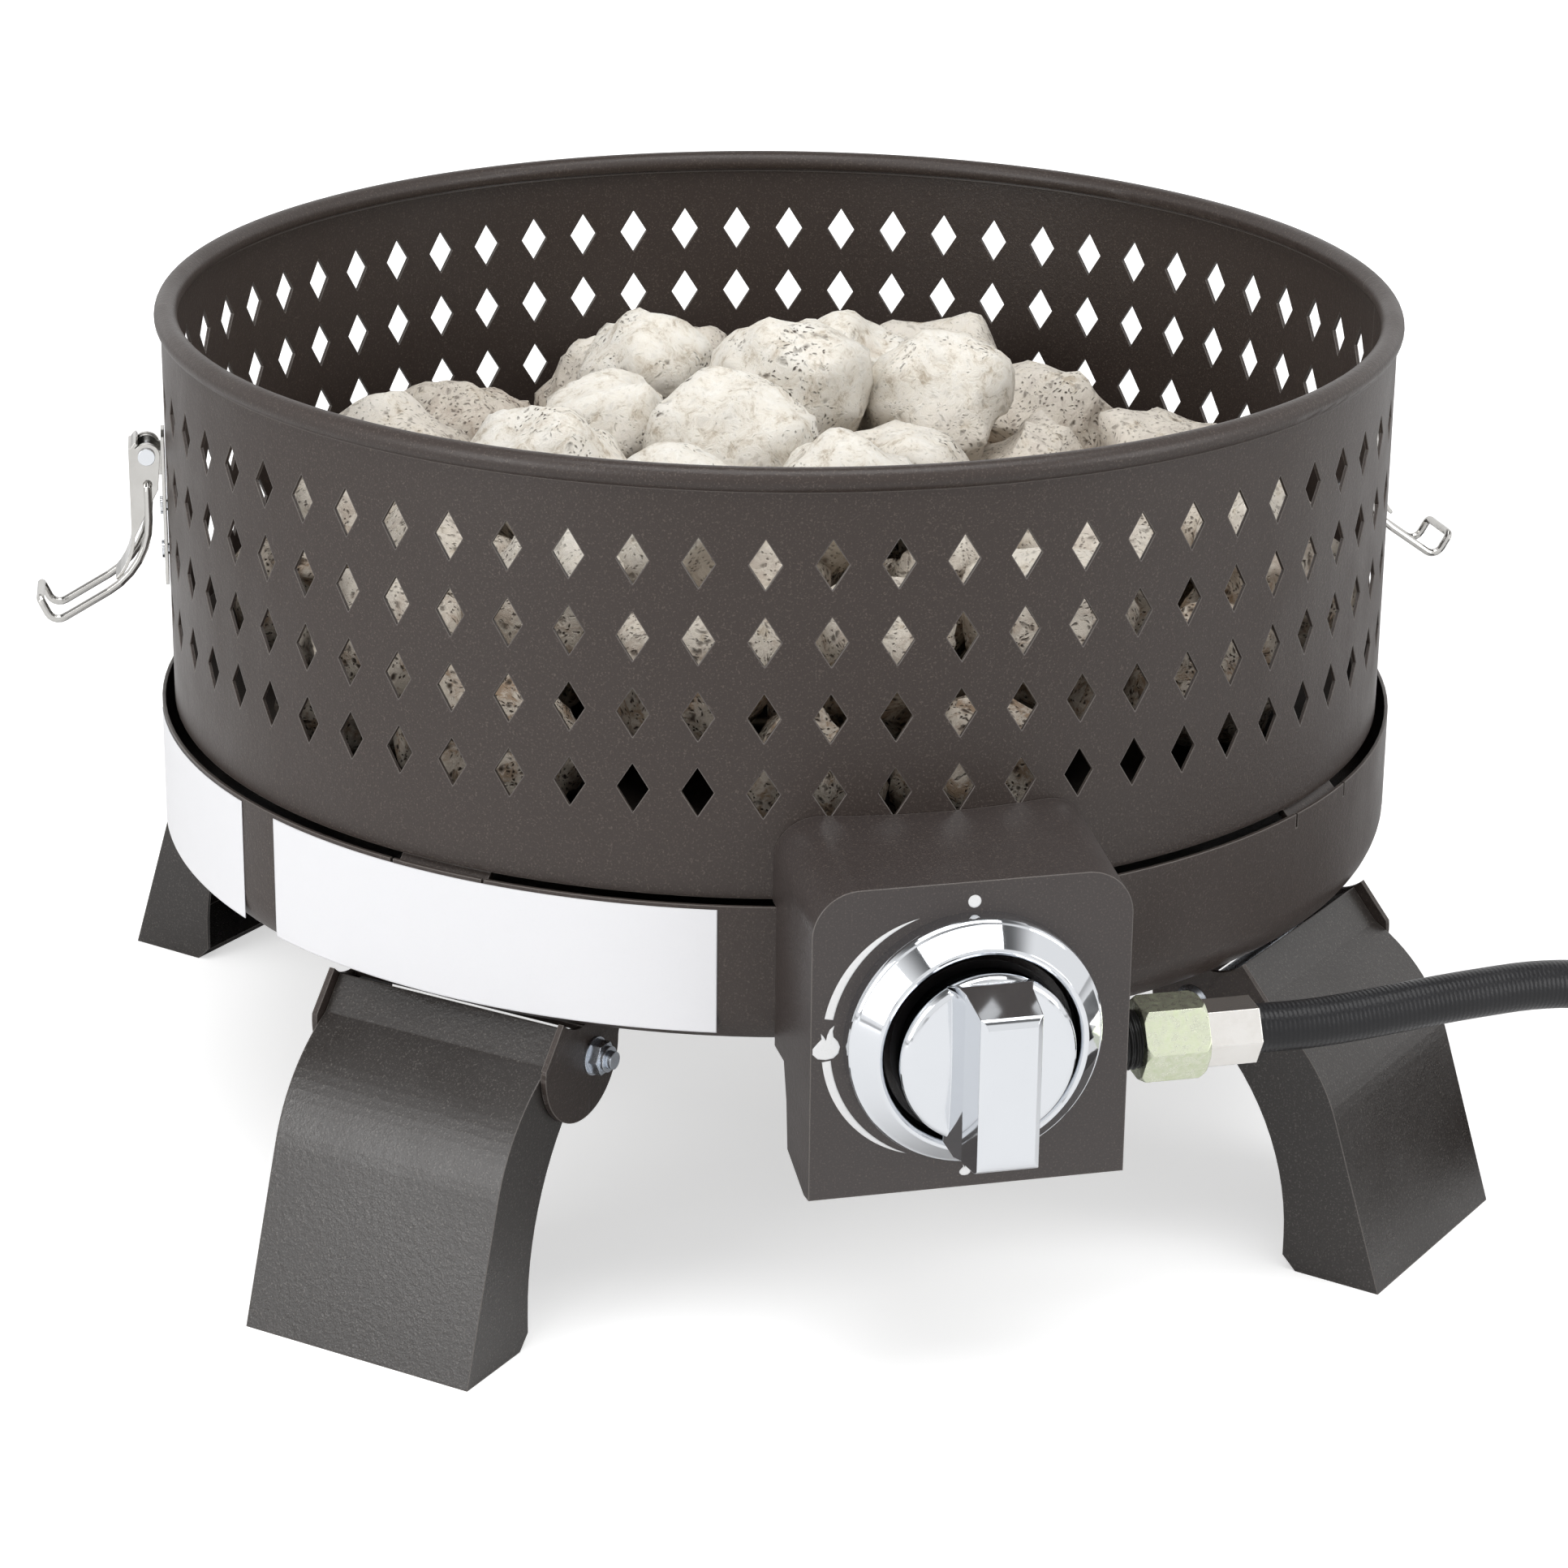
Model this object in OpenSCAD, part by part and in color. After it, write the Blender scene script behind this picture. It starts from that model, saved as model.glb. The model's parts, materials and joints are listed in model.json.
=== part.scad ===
// Tabletop gas fire pit: a perforated guard ring over a drawn base pan, filled with lava rock,
// on four folding legs, with a front control box, a supply hose and two lid catches.
// Millimetres. +Z is up, the control box faces -Y, the floor is z = 0.

/* [Guard ring] */
// Outer radius of the perforated ring
ring_r = 215; // [205:1:225]
// Height of the ring from its lower edge to the top of its rolled bead
ring_h = 142; // [136:1:160]
// Thickness of the ring's sheet
ring_t = 1.2; // [1:0.1:1.6]
// Radius of the bead rolled along the rim
bead_r = 4; // [3.5:0.1:5]
// Distance the bead stands out over the ring's wall
bead_out = 2.2; // [1:0.1:3]
// Width of a diamond hole
hole_w = 10.5; // [8:0.5:12]
// Height of a diamond hole
hole_h = 16.5; // [12:0.5:19]
// Rows of diamond holes
hole_rows = 4; // [2:1:4]
// Height from one row of holes to the next
row_pitch = 25.2; // [22:0.1:26]
// Depth of the first row's centre below the rim
first_row = 31; // [26:1:34]
// Holes in one row of one half ring
half_columns = 32; // [24:1:34]
// Width of each seam's blank strip, in hole pitches
seam_pitches = 1.5; // [1.5:0.25:3]
// Azimuth of the left seam, counter-clockwise from +X
seam_azimuth = 173.6; // [172:0.2:176]
// Open height between the pan's rim and the ring
ring_gap = 1; // [1:0.5:3]

/* [Base pan] */
// Distance the pan's wall stands out over the ring's
pan_out = 4.5; // [4:0.5:8]
// Height of the base pan
pan_h = 50.5; // [48.5:0.5:54]
// Radius of the pan's lower corner
pan_corner = 16; // [12:1:18]
// Thickness of the pan's sheet
pan_t = 1.2; // [1:0.1:1.6]
// Height of the pan's underside above the floor
pan_z = 103; // [98:1:112]
// Width of the tabs that carry the ring
tab_w = 34; // [24:1:40]
// Width of the relief slits beside each tab
slit_w = 1.2; // [0.8:0.1:2]

/* [Rock tray and burner] */
// Depth of the rock tray below its rim
tray_h = 15; // [12:1:18]
// Thickness of the tray's sheet
tray_t = 1; // [0.8:0.1:1.4]
// Radius of the burner ring's centre line
burner_r = 95; // [80:1:110]
// Outer radius of the burner's tubes
burner_tube_r = 9; // [8:0.5:10]
// Gas ports round the burner ring
burner_ports = 24; // [12:2:36]
// Outer radius of the mixing tube
mixer_r = 9.5; // [8.5:0.5:10]
// Distance between lava rocks
rock_pitch = 61; // [60:1:64]

/* [Legs] */
// Width of a leg
leg_w = 87; // [76:1:90]
// Thickness of the leg's sheet
leg_t = 1.5; // [1.2:0.1:2]
// Turn of each leg from the side towards the front or the rear
leg_turn = 46.5; // [44:0.5:48]
// Distance of the leg pivots inside the pan's wall
pivot_in = 22.5; // [20.5:0.5:25]
// Depth of the leg pivots below the pan's underside
pivot_drop = 13; // [12.5:0.5:15]
// Radius of the pivot bolts
bolt_r = 3; // [2.5:0.25:3.5]
// Thickness of the hinge brackets' sheet
ear_t = 2; // [1.5:0.1:2.5]
// Turn of a leg from standing to folded under the pan
leg_fold = 118; // [90:1:118]

/* [Control box] */
// Width of the control box
box_w = 103; // [98:1:110]
// Height of the control box's front
box_h = 103.5; // [100:0.5:108]
// Depth of the box's lower edge below the pan's underside
box_drop = 30; // [26:1:32]
// Distance of the box's front from the pan's wall
box_depth = 40.5; // [38.5:0.5:46]
// Radius of the box's upper corners
box_corner = 15; // [10:1:20]
// Thickness of the box's sheet
box_t = 1.6; // [1.2:0.1:2]
// Fall of the box's top from the ring to its front, in degrees
box_slope = 7.6; // [4:0.1:9]

/* [Knob and bezel] */
// Outer radius of the bezel
bezel_r = 41.2; // [38:0.2:44]
// Radius of the bezel's opening
bezel_hole_r = 31.7; // [30.5:0.1:33]
// Height of the bezel over the box's front
bezel_h = 14; // [12:0.5:15]
// Radius of the knob's disc
knob_r = 28.3; // [26:0.1:29]
// Distance of the grip bar's front from the box's front
knob_reach = 45; // [40:0.5:48]
// Width of the grip bar
bar_w = 19.6; // [16:0.2:22]
// Travel of the knob when it is pushed in
knob_push = 4; // [2:0.5:4.5]
// Radius of the valve stem
stem_r = 4; // [3:0.25:4.5]

/* [Gas inlet] */
// Depth of the inlet below the knob's axis
inlet_drop = 16.5; // [14:0.5:18]
// Distance of the inlet behind the box's front
inlet_back = 19.8; // [18.5:0.1:21]
// Distance across the flats of the flare nut
nut_flats = 24.5; // [22:0.5:26]
// Length of the flare nut
nut_l = 21.5; // [18:0.5:24]
// Diameter of the hose
hose_d = 16; // [12:0.5:16]

/* [Latches] */
// Turn of the left latch from the ring's side towards the rear
latch_left_turn = 6.4; // [5.4:0.2:7]
// Turn of the right latch from the ring's side towards the rear
latch_right_turn = 1.9; // [0.4:0.1:1.9]
// Turn of the right bail towards the ring, from where the left one hangs
bail_right_turn = 5.5; // [0:0.5:7]
// Outer width of the latch lever
lever_w = 15.8; // [14:0.2:18]
// Thickness of the latch's sheet
latch_t = 1.2; // [1:0.1:1.5]
// Radius of the bail's wire
wire_r = 1.4; // [1.2:0.1:1.6]

/* [Hidden] */

// Clearances: between seated faces, between sliding faces and round a running shaft
seat = 0.3;
slip = 0.3;
run = 0.05;

// Facets of large turned forms and of small ones
fine = 144;
coarse = 48;

// Colours
bronze = [0.25, 0.23, 0.22];
dark_bronze = [0.17, 0.15, 0.14];
chrome = [0.82, 0.84, 0.86];
zinc = [0.68, 0.72, 0.76];
yellow_zinc = [0.76, 0.73, 0.5];
brass = [0.72, 0.58, 0.3];
rubber = [0.09, 0.09, 0.1];
stone = [0.78, 0.75, 0.7];
steel = [0.55, 0.55, 0.56];

// Radii of the pan and of the leg pivots
pan_r = ring_r + pan_out;
pivot_r = pan_r - pivot_in;

// Heights
pan_top = pan_z + pan_h;
ring_z = pan_top + ring_gap;
rim_z = ring_z + ring_h;
pivot_z = pan_z - pivot_drop;
box_z = pan_z - box_drop;
box_front = pan_r + box_depth;
knob_z = box_z + box_h / 2 + 0.75;
row_one_z = rim_z - first_row;
tab_top = ring_z + 11;
tray_rim_z = tab_top;
tray_floor_z = tray_rim_z + tray_t - tray_h;
tray_top_z = tray_floor_z + tray_t;

// Leg outline, in a leg's own radial plane
leg_crease = [pivot_r + 24.5, pivot_z + 4.5];
leg_bend_r = 61;
leg_bend_top = 62.4;
leg_bend_low = 18.1;
leg_upper_normal = 40;
leg_boss_r = 10.5;
leg_bend_c = leg_crease - leg_bend_r * dir(leg_bend_top);
leg_bend_end = leg_bend_c + leg_bend_r * dir(leg_bend_low);
leg_reach = leg_bend_end[0] + leg_bend_end[1] * tan(leg_bend_low);
foot_depth = 31;
foot_chamfer = 5;
leg_rear_r = 93;
leg_rear_c = [leg_reach - foot_depth - foot_chamfer - leg_rear_r, 12];
leg_azimuths = [-leg_turn, leg_turn, 180 - leg_turn, 180 + leg_turn];

// The ring's axis stands behind the origin, which halves the object's depth
front_reach = box_front + knob_reach;
rear_reach = max(pan_r, leg_reach * sin(leg_turn) + leg_w / 2 * cos(leg_turn));
axis_y = (front_reach - rear_reach) / 2;

function dir(a) = [cos(a), sin(a)];
function arc(c, r, a0, a1, n) = [for (i = [0 : n]) c + r * dir(a0 + (a1 - a0) * i / n)];

// Local frame on the ring's axis: +X radial, +Y counter-clockwise, +Z up
module at_azimuth(a) {
    translate([0, axis_y, 0]) rotate([0, 0, a]) children();
}

// Frame of the control panel: +X right, +Y up, +Z out of the panel
module on_panel(out = 0) {
    at_azimuth(-90) translate([box_front + out, 0, knob_z]) rotate([90, 0, 90]) children();
}

// Extrudes an outline drawn as radius and height across the tangential direction
module across(width) {
    translate([0, width / 2, 0]) rotate([90, 0, 0]) linear_extrude(width) children();
}

// Half section of a round dish, with its lower outside corner rounded
module dish_section(r, h, corner) {
    translate([0, corner]) square([r, h - corner]);
    square([r - corner, corner]);
    translate([r - corner, corner]) intersection() {
        circle(r = corner, $fn = coarse);
        translate([0, -corner]) square(corner);
    }
}

module dish_shell(r, h, corner, t) {
    rotate_extrude($fn = fine) difference() {
        dish_section(r, h, corner);
        translate([0, t]) dish_section(r - t, h, corner - t);
    }
}

// ---------- guard ring ----------
column_step = 180 / (half_columns - 1 + seam_pitches);

module ring_section() {
    bead_c = [ring_r + bead_out - bead_r, ring_h - bead_r];
    translate([ring_r - ring_t, 0]) square([ring_t, ring_h - 2 * bead_r + ring_t]);
    translate(bead_c) difference() {
        circle(r = bead_r, $fn = coarse);
        circle(r = bead_r - ring_t, $fn = coarse);
        polygon([[0, 0], [-1.6 * bead_r, -1.2 * bead_r], [-0.5 * bead_r, -1.6 * bead_r]]);
    }
}

module diamond_hole() {
    rotate([90, 0, 90]) linear_extrude(ring_t * 6, center = true)
        polygon([[hole_w / 2, 0], [0, hole_h / 2], [-hole_w / 2, 0], [0, -hole_h / 2]]);
}

module half_ring(a) {
    difference() {
        at_azimuth(a) translate([0, 0, ring_z]) rotate_extrude(angle = 180, $fn = fine) ring_section();
        for (c = [0 : half_columns - 1], row = [0 : hole_rows - 1])
            at_azimuth(a + (c + seam_pitches / 2) * column_step)
                translate([ring_r, 0, row_one_z - row * row_pitch]) diamond_hole();
        for (side = [-1, 1], z = latch_rivet_z)
            at_azimuth(latch_azimuth(side)) translate([ring_r - ring_t * 3, 0, z]) rotate([0, 90, 0])
                cylinder(r = latch_rivet_r + run, h = ring_t * 6, $fn = coarse);
    }
}

module ring_front() {
    color(bronze) half_ring(seam_azimuth);
}

module ring_rear() {
    color(bronze) half_ring(seam_azimuth - 180);
}

// ---------- base pan ----------
tab_t = 1.5;
tab_low = pan_top - 14;
tab_in = ring_r - ring_t - seat;
mixer_hole_r = mixer_r + 5;

// A tab joggles inward from the pan's wall and stands up inside the ring
module ring_tab() {
    in_r = tab_in - tab_t;
    intersection() {
        rotate_extrude($fn = fine) polygon([
            [pan_r - pan_t / 2, tab_low], [pan_r - pan_t / 2, pan_top - 5], [tab_in, ring_z - 0.7],
            [tab_in, tab_top], [in_r, tab_top], [in_r, pan_top - 1.5], [pan_r - pan_t - tab_t, pan_top - 6.5],
            [pan_r - pan_t - tab_t, tab_low]]);
        translate([0, -tab_w / 2, 0]) cube([pan_r + 10, tab_w, rim_z]);
    }
}

module base_pan() {
    color(bronze) difference() {
        union() {
            translate([0, axis_y, pan_z]) dish_shell(pan_r, pan_h, pan_corner, pan_t);
            for (a = leg_azimuths) at_azimuth(a) ring_tab();
        }
        for (a = leg_azimuths, side = [-1, 1])
            at_azimuth(a) translate([pan_r - 4, side * (tab_w / 2 + slit_w / 2) - slit_w / 2, pan_top - 5])
                cube([10, slit_w, 10]);
        on_panel(-box_depth - 12) cylinder(r = mixer_hole_r, h = 16, $fn = coarse);
        for (x = [-1, 1], z = box_screw_z)
            box_screw_place(x, z) cylinder(r = box_screw_r + run, h = 12, center = true, $fn = coarse);
        for (a = leg_azimuths, y = bracket_rivet_y)
            at_azimuth(a) translate([bracket_rivet_x, y, pan_z - 5])
                cylinder(r = bracket_rivet_r + run, h = 12, $fn = coarse);
    }
}

// ---------- rock tray and burner ----------
tray_r = tab_in - tab_t - 5;
tray_rim_r = ring_r - ring_t - 2 * seat;
hub_r = 18;
hub_h = 20;
burner_z = tray_top_z + hub_h / 2;
burner_wall = 1.2;
mixer_wall = 1.2;
mixer_bend = 22;
mixer_in = 1;
screw_circle = 12.5;
burner_screw_r = 2;

module rock_tray() {
    color(dark_bronze) difference() {
        translate([0, axis_y, 0]) {
            translate([0, 0, tray_floor_z]) dish_shell(tray_r, tray_h, 6, tray_t);
            translate([0, 0, tray_rim_z]) difference() {
                cylinder(r = tray_rim_r, h = tray_t, $fn = fine);
                translate([0, 0, -1]) cylinder(r = tray_r - tray_t, h = tray_t + 2, $fn = fine);
            }
        }
        translate([0, axis_y, tray_floor_z - 1]) {
            cylinder(r = mixer_r + slip, h = 4, $fn = coarse);
            for (i = [0 : 11]) rotate([0, 0, i * 30 + 15]) translate([burner_r + 30, 0, 0])
                cylinder(r = 6, h = 4, $fn = coarse);
            for (i = [0 : 2]) rotate([0, 0, i * 120 + 60]) translate([screw_circle, 0, 0])
                cylinder(r = burner_screw_r + run, h = 4, $fn = coarse);
        }
    }
}

module burner_tubes(r) {
    rotate_extrude($fn = fine) translate([burner_r, 0]) circle(r = r, $fn = coarse);
    rotate([0, 90, 0]) cylinder(r = r, h = 2 * burner_r, center = true, $fn = coarse);
}

module burner() {
    color(steel) translate([0, axis_y, burner_z]) difference() {
        union() {
            burner_tubes(burner_tube_r);
            translate([0, 0, -hub_h / 2]) cylinder(r = hub_r, h = hub_h, $fn = coarse);
        }
        burner_tubes(burner_tube_r - burner_wall);
        translate([0, 0, -hub_h / 2 - 1]) cylinder(r = mixer_r + run, h = hub_h / 2 + 1, $fn = coarse);
        for (i = [0 : burner_ports - 1]) rotate([0, 0, (i + 0.5) * 360 / burner_ports])
            translate([burner_r, 0, 0]) cylinder(r = 1.2, h = burner_tube_r + 2, $fn = coarse);
        for (i = [0 : 2]) rotate([0, 0, i * 120 + 60]) translate([screw_circle, 0, -hub_h / 2 - 1])
            cylinder(r = burner_screw_r + run, h = 7, $fn = coarse);
    }
}

// Three screws hold the burner's hub from under the tray
module burner_screws() {
    color(zinc) for (i = [0 : 2])
        translate([0, axis_y, tray_floor_z]) rotate([0, 0, i * 120 + 60]) translate([screw_circle, 0, 0]) {
            translate([0, 0, -2.5]) cylinder(r = 3, h = 2.5, $fn = 6);
            cylinder(r = burner_screw_r, h = tray_t + 5, $fn = coarse);
        }
}

// The mixing tube runs in under the tray and turns up into the burner's hub
module mixer_path(r) {
    run_in = pan_r + mixer_in - mixer_bend;
    at_azimuth(-90) {
        translate([mixer_bend, 0, knob_z]) rotate([0, 90, 0]) cylinder(r = r, h = run_in, $fn = coarse);
        translate([mixer_bend, 0, knob_z + mixer_bend]) rotate([90, 0, 0]) rotate([0, 0, 180])
            rotate_extrude(angle = 90, $fn = coarse) translate([mixer_bend, 0]) circle(r = r, $fn = coarse);
        translate([0, 0, knob_z + mixer_bend])
            cylinder(r = r, h = burner_z - burner_tube_r - knob_z - mixer_bend + 2, $fn = coarse);
    }
}

module mixing_tube() {
    color(steel) difference() {
        mixer_path(mixer_r);
        mixer_path(mixer_r - mixer_wall);
        on_panel(-box_depth + mixer_in - 1) cylinder(r = mixer_r - mixer_wall, h = 3, $fn = coarse);
        translate([0, axis_y, burner_z - burner_tube_r]) cylinder(r = mixer_r - mixer_wall, h = 4, $fn = coarse);
    }
}

// A sleeve with two windows turns on the mixing tube's mouth
module air_shutter() {
    mouth = mixer_in - box_depth;
    front = -valve_back - seat - mouth;
    inner = mixer_r + run;
    color(steel) on_panel(mouth) difference() {
        translate([0, 0, -8]) cylinder(r = inner + 1.2, h = front + 8, $fn = coarse);
        translate([0, 0, -9]) cylinder(r = inner, h = front + 8, $fn = coarse);
        translate([0, 0, front - 2]) cylinder(r = orifice_neck_r + run, h = 3, $fn = coarse);
        translate([0, 0, front / 2]) cube([inner * 3, 9, front - 2.5], center = true);
    }
}

// ---------- valve ----------
valve_r = 15;
valve_back = 32;
orifice_neck_r = 5;
collar_out = 3.6;
collar_t = 1.2;
stem_tail = 16;
hub_out = collar_out + collar_t + 0.2;
stem_out = knob_reach - 22;

module gas_orifice() {
    color(brass) on_panel(-valve_back) difference() {
        union() {
            translate([0, 0, -2.6]) cylinder(r = orifice_neck_r, h = 2.6, $fn = coarse);
            translate([0, 0, -5]) cylinder(r = 3, h = 5, $fn = coarse);
        }
        translate([0, 0, -6]) cylinder(r = 0.6, h = 7, $fn = coarse);
    }
}

module valve_body() {
    depth = valve_back - box_t;
    color(brass) on_panel() difference() {
        union() {
            translate([0, 0, -valve_back]) cylinder(r = valve_r, h = depth - seat, $fn = coarse);
            translate([-valve_r, -inlet_drop - 10, -valve_back])
                cube([2 * valve_r, inlet_drop + 10, depth - seat]);
            translate([0, -inlet_drop, -inlet_back]) rotate([0, 90, 0])
                cylinder(r = 9.5, h = valve_r + 8, $fn = coarse);
        }
        translate([0, 0, -stem_tail - knob_push - 1])
            cylinder(r = stem_r + run, h = stem_tail + knob_push + 1, $fn = coarse);
        translate([0, 0, -stem_tail + 6]) cylinder(r = 8, h = stem_tail, $fn = coarse);
    }
}

module stem_collar() {
    color(zinc) on_panel(collar_out) difference() {
        cylinder(r = 8, h = collar_t, $fn = coarse);
        translate([0, 0, -1]) cylinder(r = stem_r + run, h = collar_t + 2, $fn = coarse);
    }
}

module valve_stem() {
    color(brass) on_panel(-stem_tail) cylinder(r = stem_r, h = stem_tail + stem_out, $fn = coarse);
}

// ---------- control box ----------
box_lip = 8;
box_screw_r = 2;
box_screw_z = [-1, 13];
box_tab_w = 14;
box_tab_x = (box_w - box_tab_w) / 2 - 0.2;

module box_outline(inset) {
    w = box_w - 2 * inset;
    r = box_corner - inset;
    top = box_z + box_h - inset - knob_z;
    low = box_z - knob_z - 40;
    translate([-w / 2, low]) square([w, top - r - low]);
    translate([-w / 2 + r, low]) square([w - 2 * r, top - low]);
    for (side = [-1, 1]) translate([side * (w / 2 - r), top - r]) circle(r = r, $fn = coarse);
}

// The top rises towards the ring, so the outline is swept along a line that slopes from the top's front edge
module box_form(inset) {
    top = box_z + box_h - knob_z;
    lower = pan_z - knob_z + 3;
    floor_y = box_z - knob_z + inset;
    front = -inset;
    intersection() {
        on_panel() translate([0, top, 0]) rotate([box_slope, 0, 0]) translate([0, -top, -80])
            linear_extrude(120) box_outline(inset);
        at_azimuth(-90) translate([0, 0, knob_z]) across(box_w + 4) polygon([
            [box_front + front, floor_y], [box_front - 6, floor_y - 0.8], [box_front - 28, floor_y + 5],
            [box_front - 30, lower - 12], [box_front - 34, lower], [box_front - 60, lower],
            [box_front - 60, 80], [box_front + front, 80]]);
    }
}

module round_body(gap) {
    translate([0, axis_y, 0]) {
        translate([0, 0, pan_z - 30]) cylinder(r = pan_r + gap, h = pan_h + 30.5, $fn = fine);
        translate([0, 0, pan_top]) cylinder(r = ring_r + gap, h = ring_h, $fn = fine);
    }
}

module box_screw_place(side, z) {
    at_azimuth(-90 + side * asin(box_tab_x / pan_r)) translate([pan_r, 0, knob_z + z]) rotate([0, 90, 0]) children();
}

// Curved tabs inside the side walls are screwed to the pan
module box_tabs() {
    for (side = [-1, 1]) intersection() {
        translate([0, axis_y, 0]) difference() {
            cylinder(r = pan_r + seat + box_t, h = rim_z, $fn = fine);
            translate([0, 0, -1]) cylinder(r = pan_r + seat, h = rim_z + 2, $fn = fine);
        }
        on_panel(-box_depth - 20) translate([side * box_tab_x, 6, 0])
            linear_extrude(40) square([box_tab_w, 30], center = true);
    }
}

module control_box() {
    color(dark_bronze) difference() {
        union() {
            difference() {
                box_form(0);
                box_form(box_t);
                at_azimuth(-90) translate([box_front - 60, -box_w / 2 + box_t, box_z + box_t + 6])
                    cube([30, box_w - 2 * box_t, pan_top - box_z - 22]);
                round_body(seat);
            }
            box_tabs();
        }
        on_panel(-5) cylinder(r = 10, h = 10, $fn = coarse);
        on_panel() translate([0, -inlet_drop, -inlet_back]) rotate([0, 90, 0])
            cylinder(r = fitting_r + slip, h = box_w, $fn = coarse);
        for (x = [-1, 1], z = box_screw_z)
            box_screw_place(x, z) cylinder(r = box_screw_r + run, h = 12, center = true, $fn = coarse);
    }
}

module box_screws() {
    color(zinc) for (x = [-1, 1], z = box_screw_z) box_screw_place(x, z) {
        translate([0, 0, -pan_t - 4]) cylinder(r = box_screw_r, h = pan_t + 4 + seat + box_t + 1, $fn = coarse);
        translate([0, 0, -pan_t - 3.1]) cylinder(r = 3.6, h = 3, $fn = 6);
        translate([0, 0, seat + box_t]) cylinder(r = 3.4, h = 1.8, $fn = coarse);
    }
}

// ---------- bezel and knob ----------
module bezel() {
    lip = bezel_r - 3;
    color(chrome) on_panel() rotate_extrude($fn = fine) difference() {
        polygon(concat(
            [[bezel_hole_r - 1.2, 0], [bezel_r, 0], [bezel_r, 5]],
            arc([lip, 5], 3, 20, 60, 3),
            arc([bezel_hole_r + 1.6, bezel_h - 1.6], 1.6, 60, 180, 6),
            [[bezel_hole_r - 1.2, bezel_h - 5]]));
    }
}

module knob_bar() {
    low = -knob_r - 1.5;
    back = hub_out + 14;
    intersection() {
        rotate([90, 0, 90]) linear_extrude(60, center = true) polygon(concat(
            [[low + 3, back], [low, back + 6]],
            arc([low + 7.5, knob_reach - 6], 6, 180, 100, 5),
            arc([20.5, knob_reach - 4], 4, 84, 30, 4),
            [[knob_r - 1, back + 6], [knob_r - 3, back]]));
        rotate([90, 0, 0]) linear_extrude(80, center = true) polygon([
            [-bar_w / 2 - 4, back], [-bar_w / 2 - 0.8, back + 10], [-bar_w / 2, knob_reach - 2],
            [-bar_w / 2 + 2, knob_reach], [bar_w / 2 - 2, knob_reach], [bar_w / 2, knob_reach - 2],
            [bar_w / 2 + 0.8, back + 10], [bar_w / 2 + 4, back]]);
    }
}

module knob() {
    face = hub_out + 17;
    skirt = hub_out + 3;
    color(chrome) on_panel() difference() {
        union() {
            rotate_extrude($fn = fine) polygon(concat(
                [[0, skirt + 8], [knob_r - 2, skirt + 8], [knob_r - 2, skirt], [knob_r, skirt]],
                [[knob_r, face - 3]], arc([knob_r - 3, face - 3], 3, 0, 80, 5), [[0, face + 1.5]]));
            translate([0, 0, hub_out]) cylinder(r = 8, h = 14, $fn = coarse);
            knob_bar();
        }
        translate([0, 0, hub_out - 1]) cylinder(r = stem_r + run, h = stem_out - hub_out + 1.5, $fn = coarse);
    }
}

// ---------- gas inlet and hose ends ----------
fitting_r = 7.5;
stub_end = box_w / 2 + 11;
nut_end = stub_end + nut_l;
ferrule_l = 18;
ferrule_flats = 19;
hose_r = hose_d / 2;

// Frame of the inlet's axis: +Z runs out of the box's right side
module on_inlet(out) {
    on_panel() translate([out, -inlet_drop, -inlet_back]) rotate([0, 90, 0]) children();
}

module hexagon(flats, h, turn = 0) {
    rotate([0, 0, turn]) cylinder(r = flats / 2 / cos(30), h = h, $fn = 6);
}

module inlet_fitting() {
    color(rubber) on_inlet(valve_r + 8 + seat) {
        cylinder(r = 7, h = stub_end - valve_r - 8 - seat - 1, $fn = coarse);
        cylinder(r = 9, h = 10, $fn = 6);
    }
}

module flare_nut() {
    color(yellow_zinc) on_inlet(stub_end - 2) difference() {
        intersection() {
            hexagon(nut_flats, nut_l);
            translate([0, 0, nut_l / 2]) sphere(r = nut_flats * 0.68, $fn = fine);
        }
        translate([0, 0, -1]) cylinder(r = 7 + run, h = 14, $fn = coarse);
        cylinder(r = 5 + run, h = nut_l + 1, $fn = coarse);
    }
}

module hose_ferrule() {
    start = nut_end - 2;
    color(zinc) on_inlet(start) {
        hexagon(ferrule_flats, ferrule_l);
        translate([0, 0, -5]) cylinder(r = 5, h = 5.5, $fn = coarse);
    }
}

// ---------- hose ----------
// Free stretch from the box, past the side of the fire pit and down to the coil
lead_route = [
    [100, -200.8, 109], [118, -200.8, 109], [134, -199.8, 109.5], [150, -198.6, 110.5], [166, -197.1, 111.5],
    [182, -195.5, 112], [198, -193.8, 112], [214, -192.4, 110.5], [230, -191.3, 107], [245, -190.5, 101.5],
    [259, -190, 94], [272, -190, 85.5], [284, -190, 76.5], [296, -190, 67], [308, -190, 57.5],
    [320, -190, 48.5], [332, -190, 40], [344, -190, 32.8], [357, -190, 27.4], [370, -190, 25.1],
    [379, -190, 25.1]];
// Short stretch from the coil up to the regulator
tail_route = [
    [503, -66, 8.1], [503, -50, 8.1], [503, -39, 9], [503, -28, 11.2], [503, -17, 14.6],
    [503, -6, 18.4], [503, 6, 21.6], [503, 18, 23], [503, 28, 23], [503, 38, 23]];

coil_c = [395, -82];
coil_r = 108;
coil_pitch = 17;
coil_low = 8.1;
coil_rise = 17;
coil_in = 2.375;
coil_dip = 3;
coil_turns = 2 * coil_in + 0.5;
coil_steps = 24;

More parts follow.
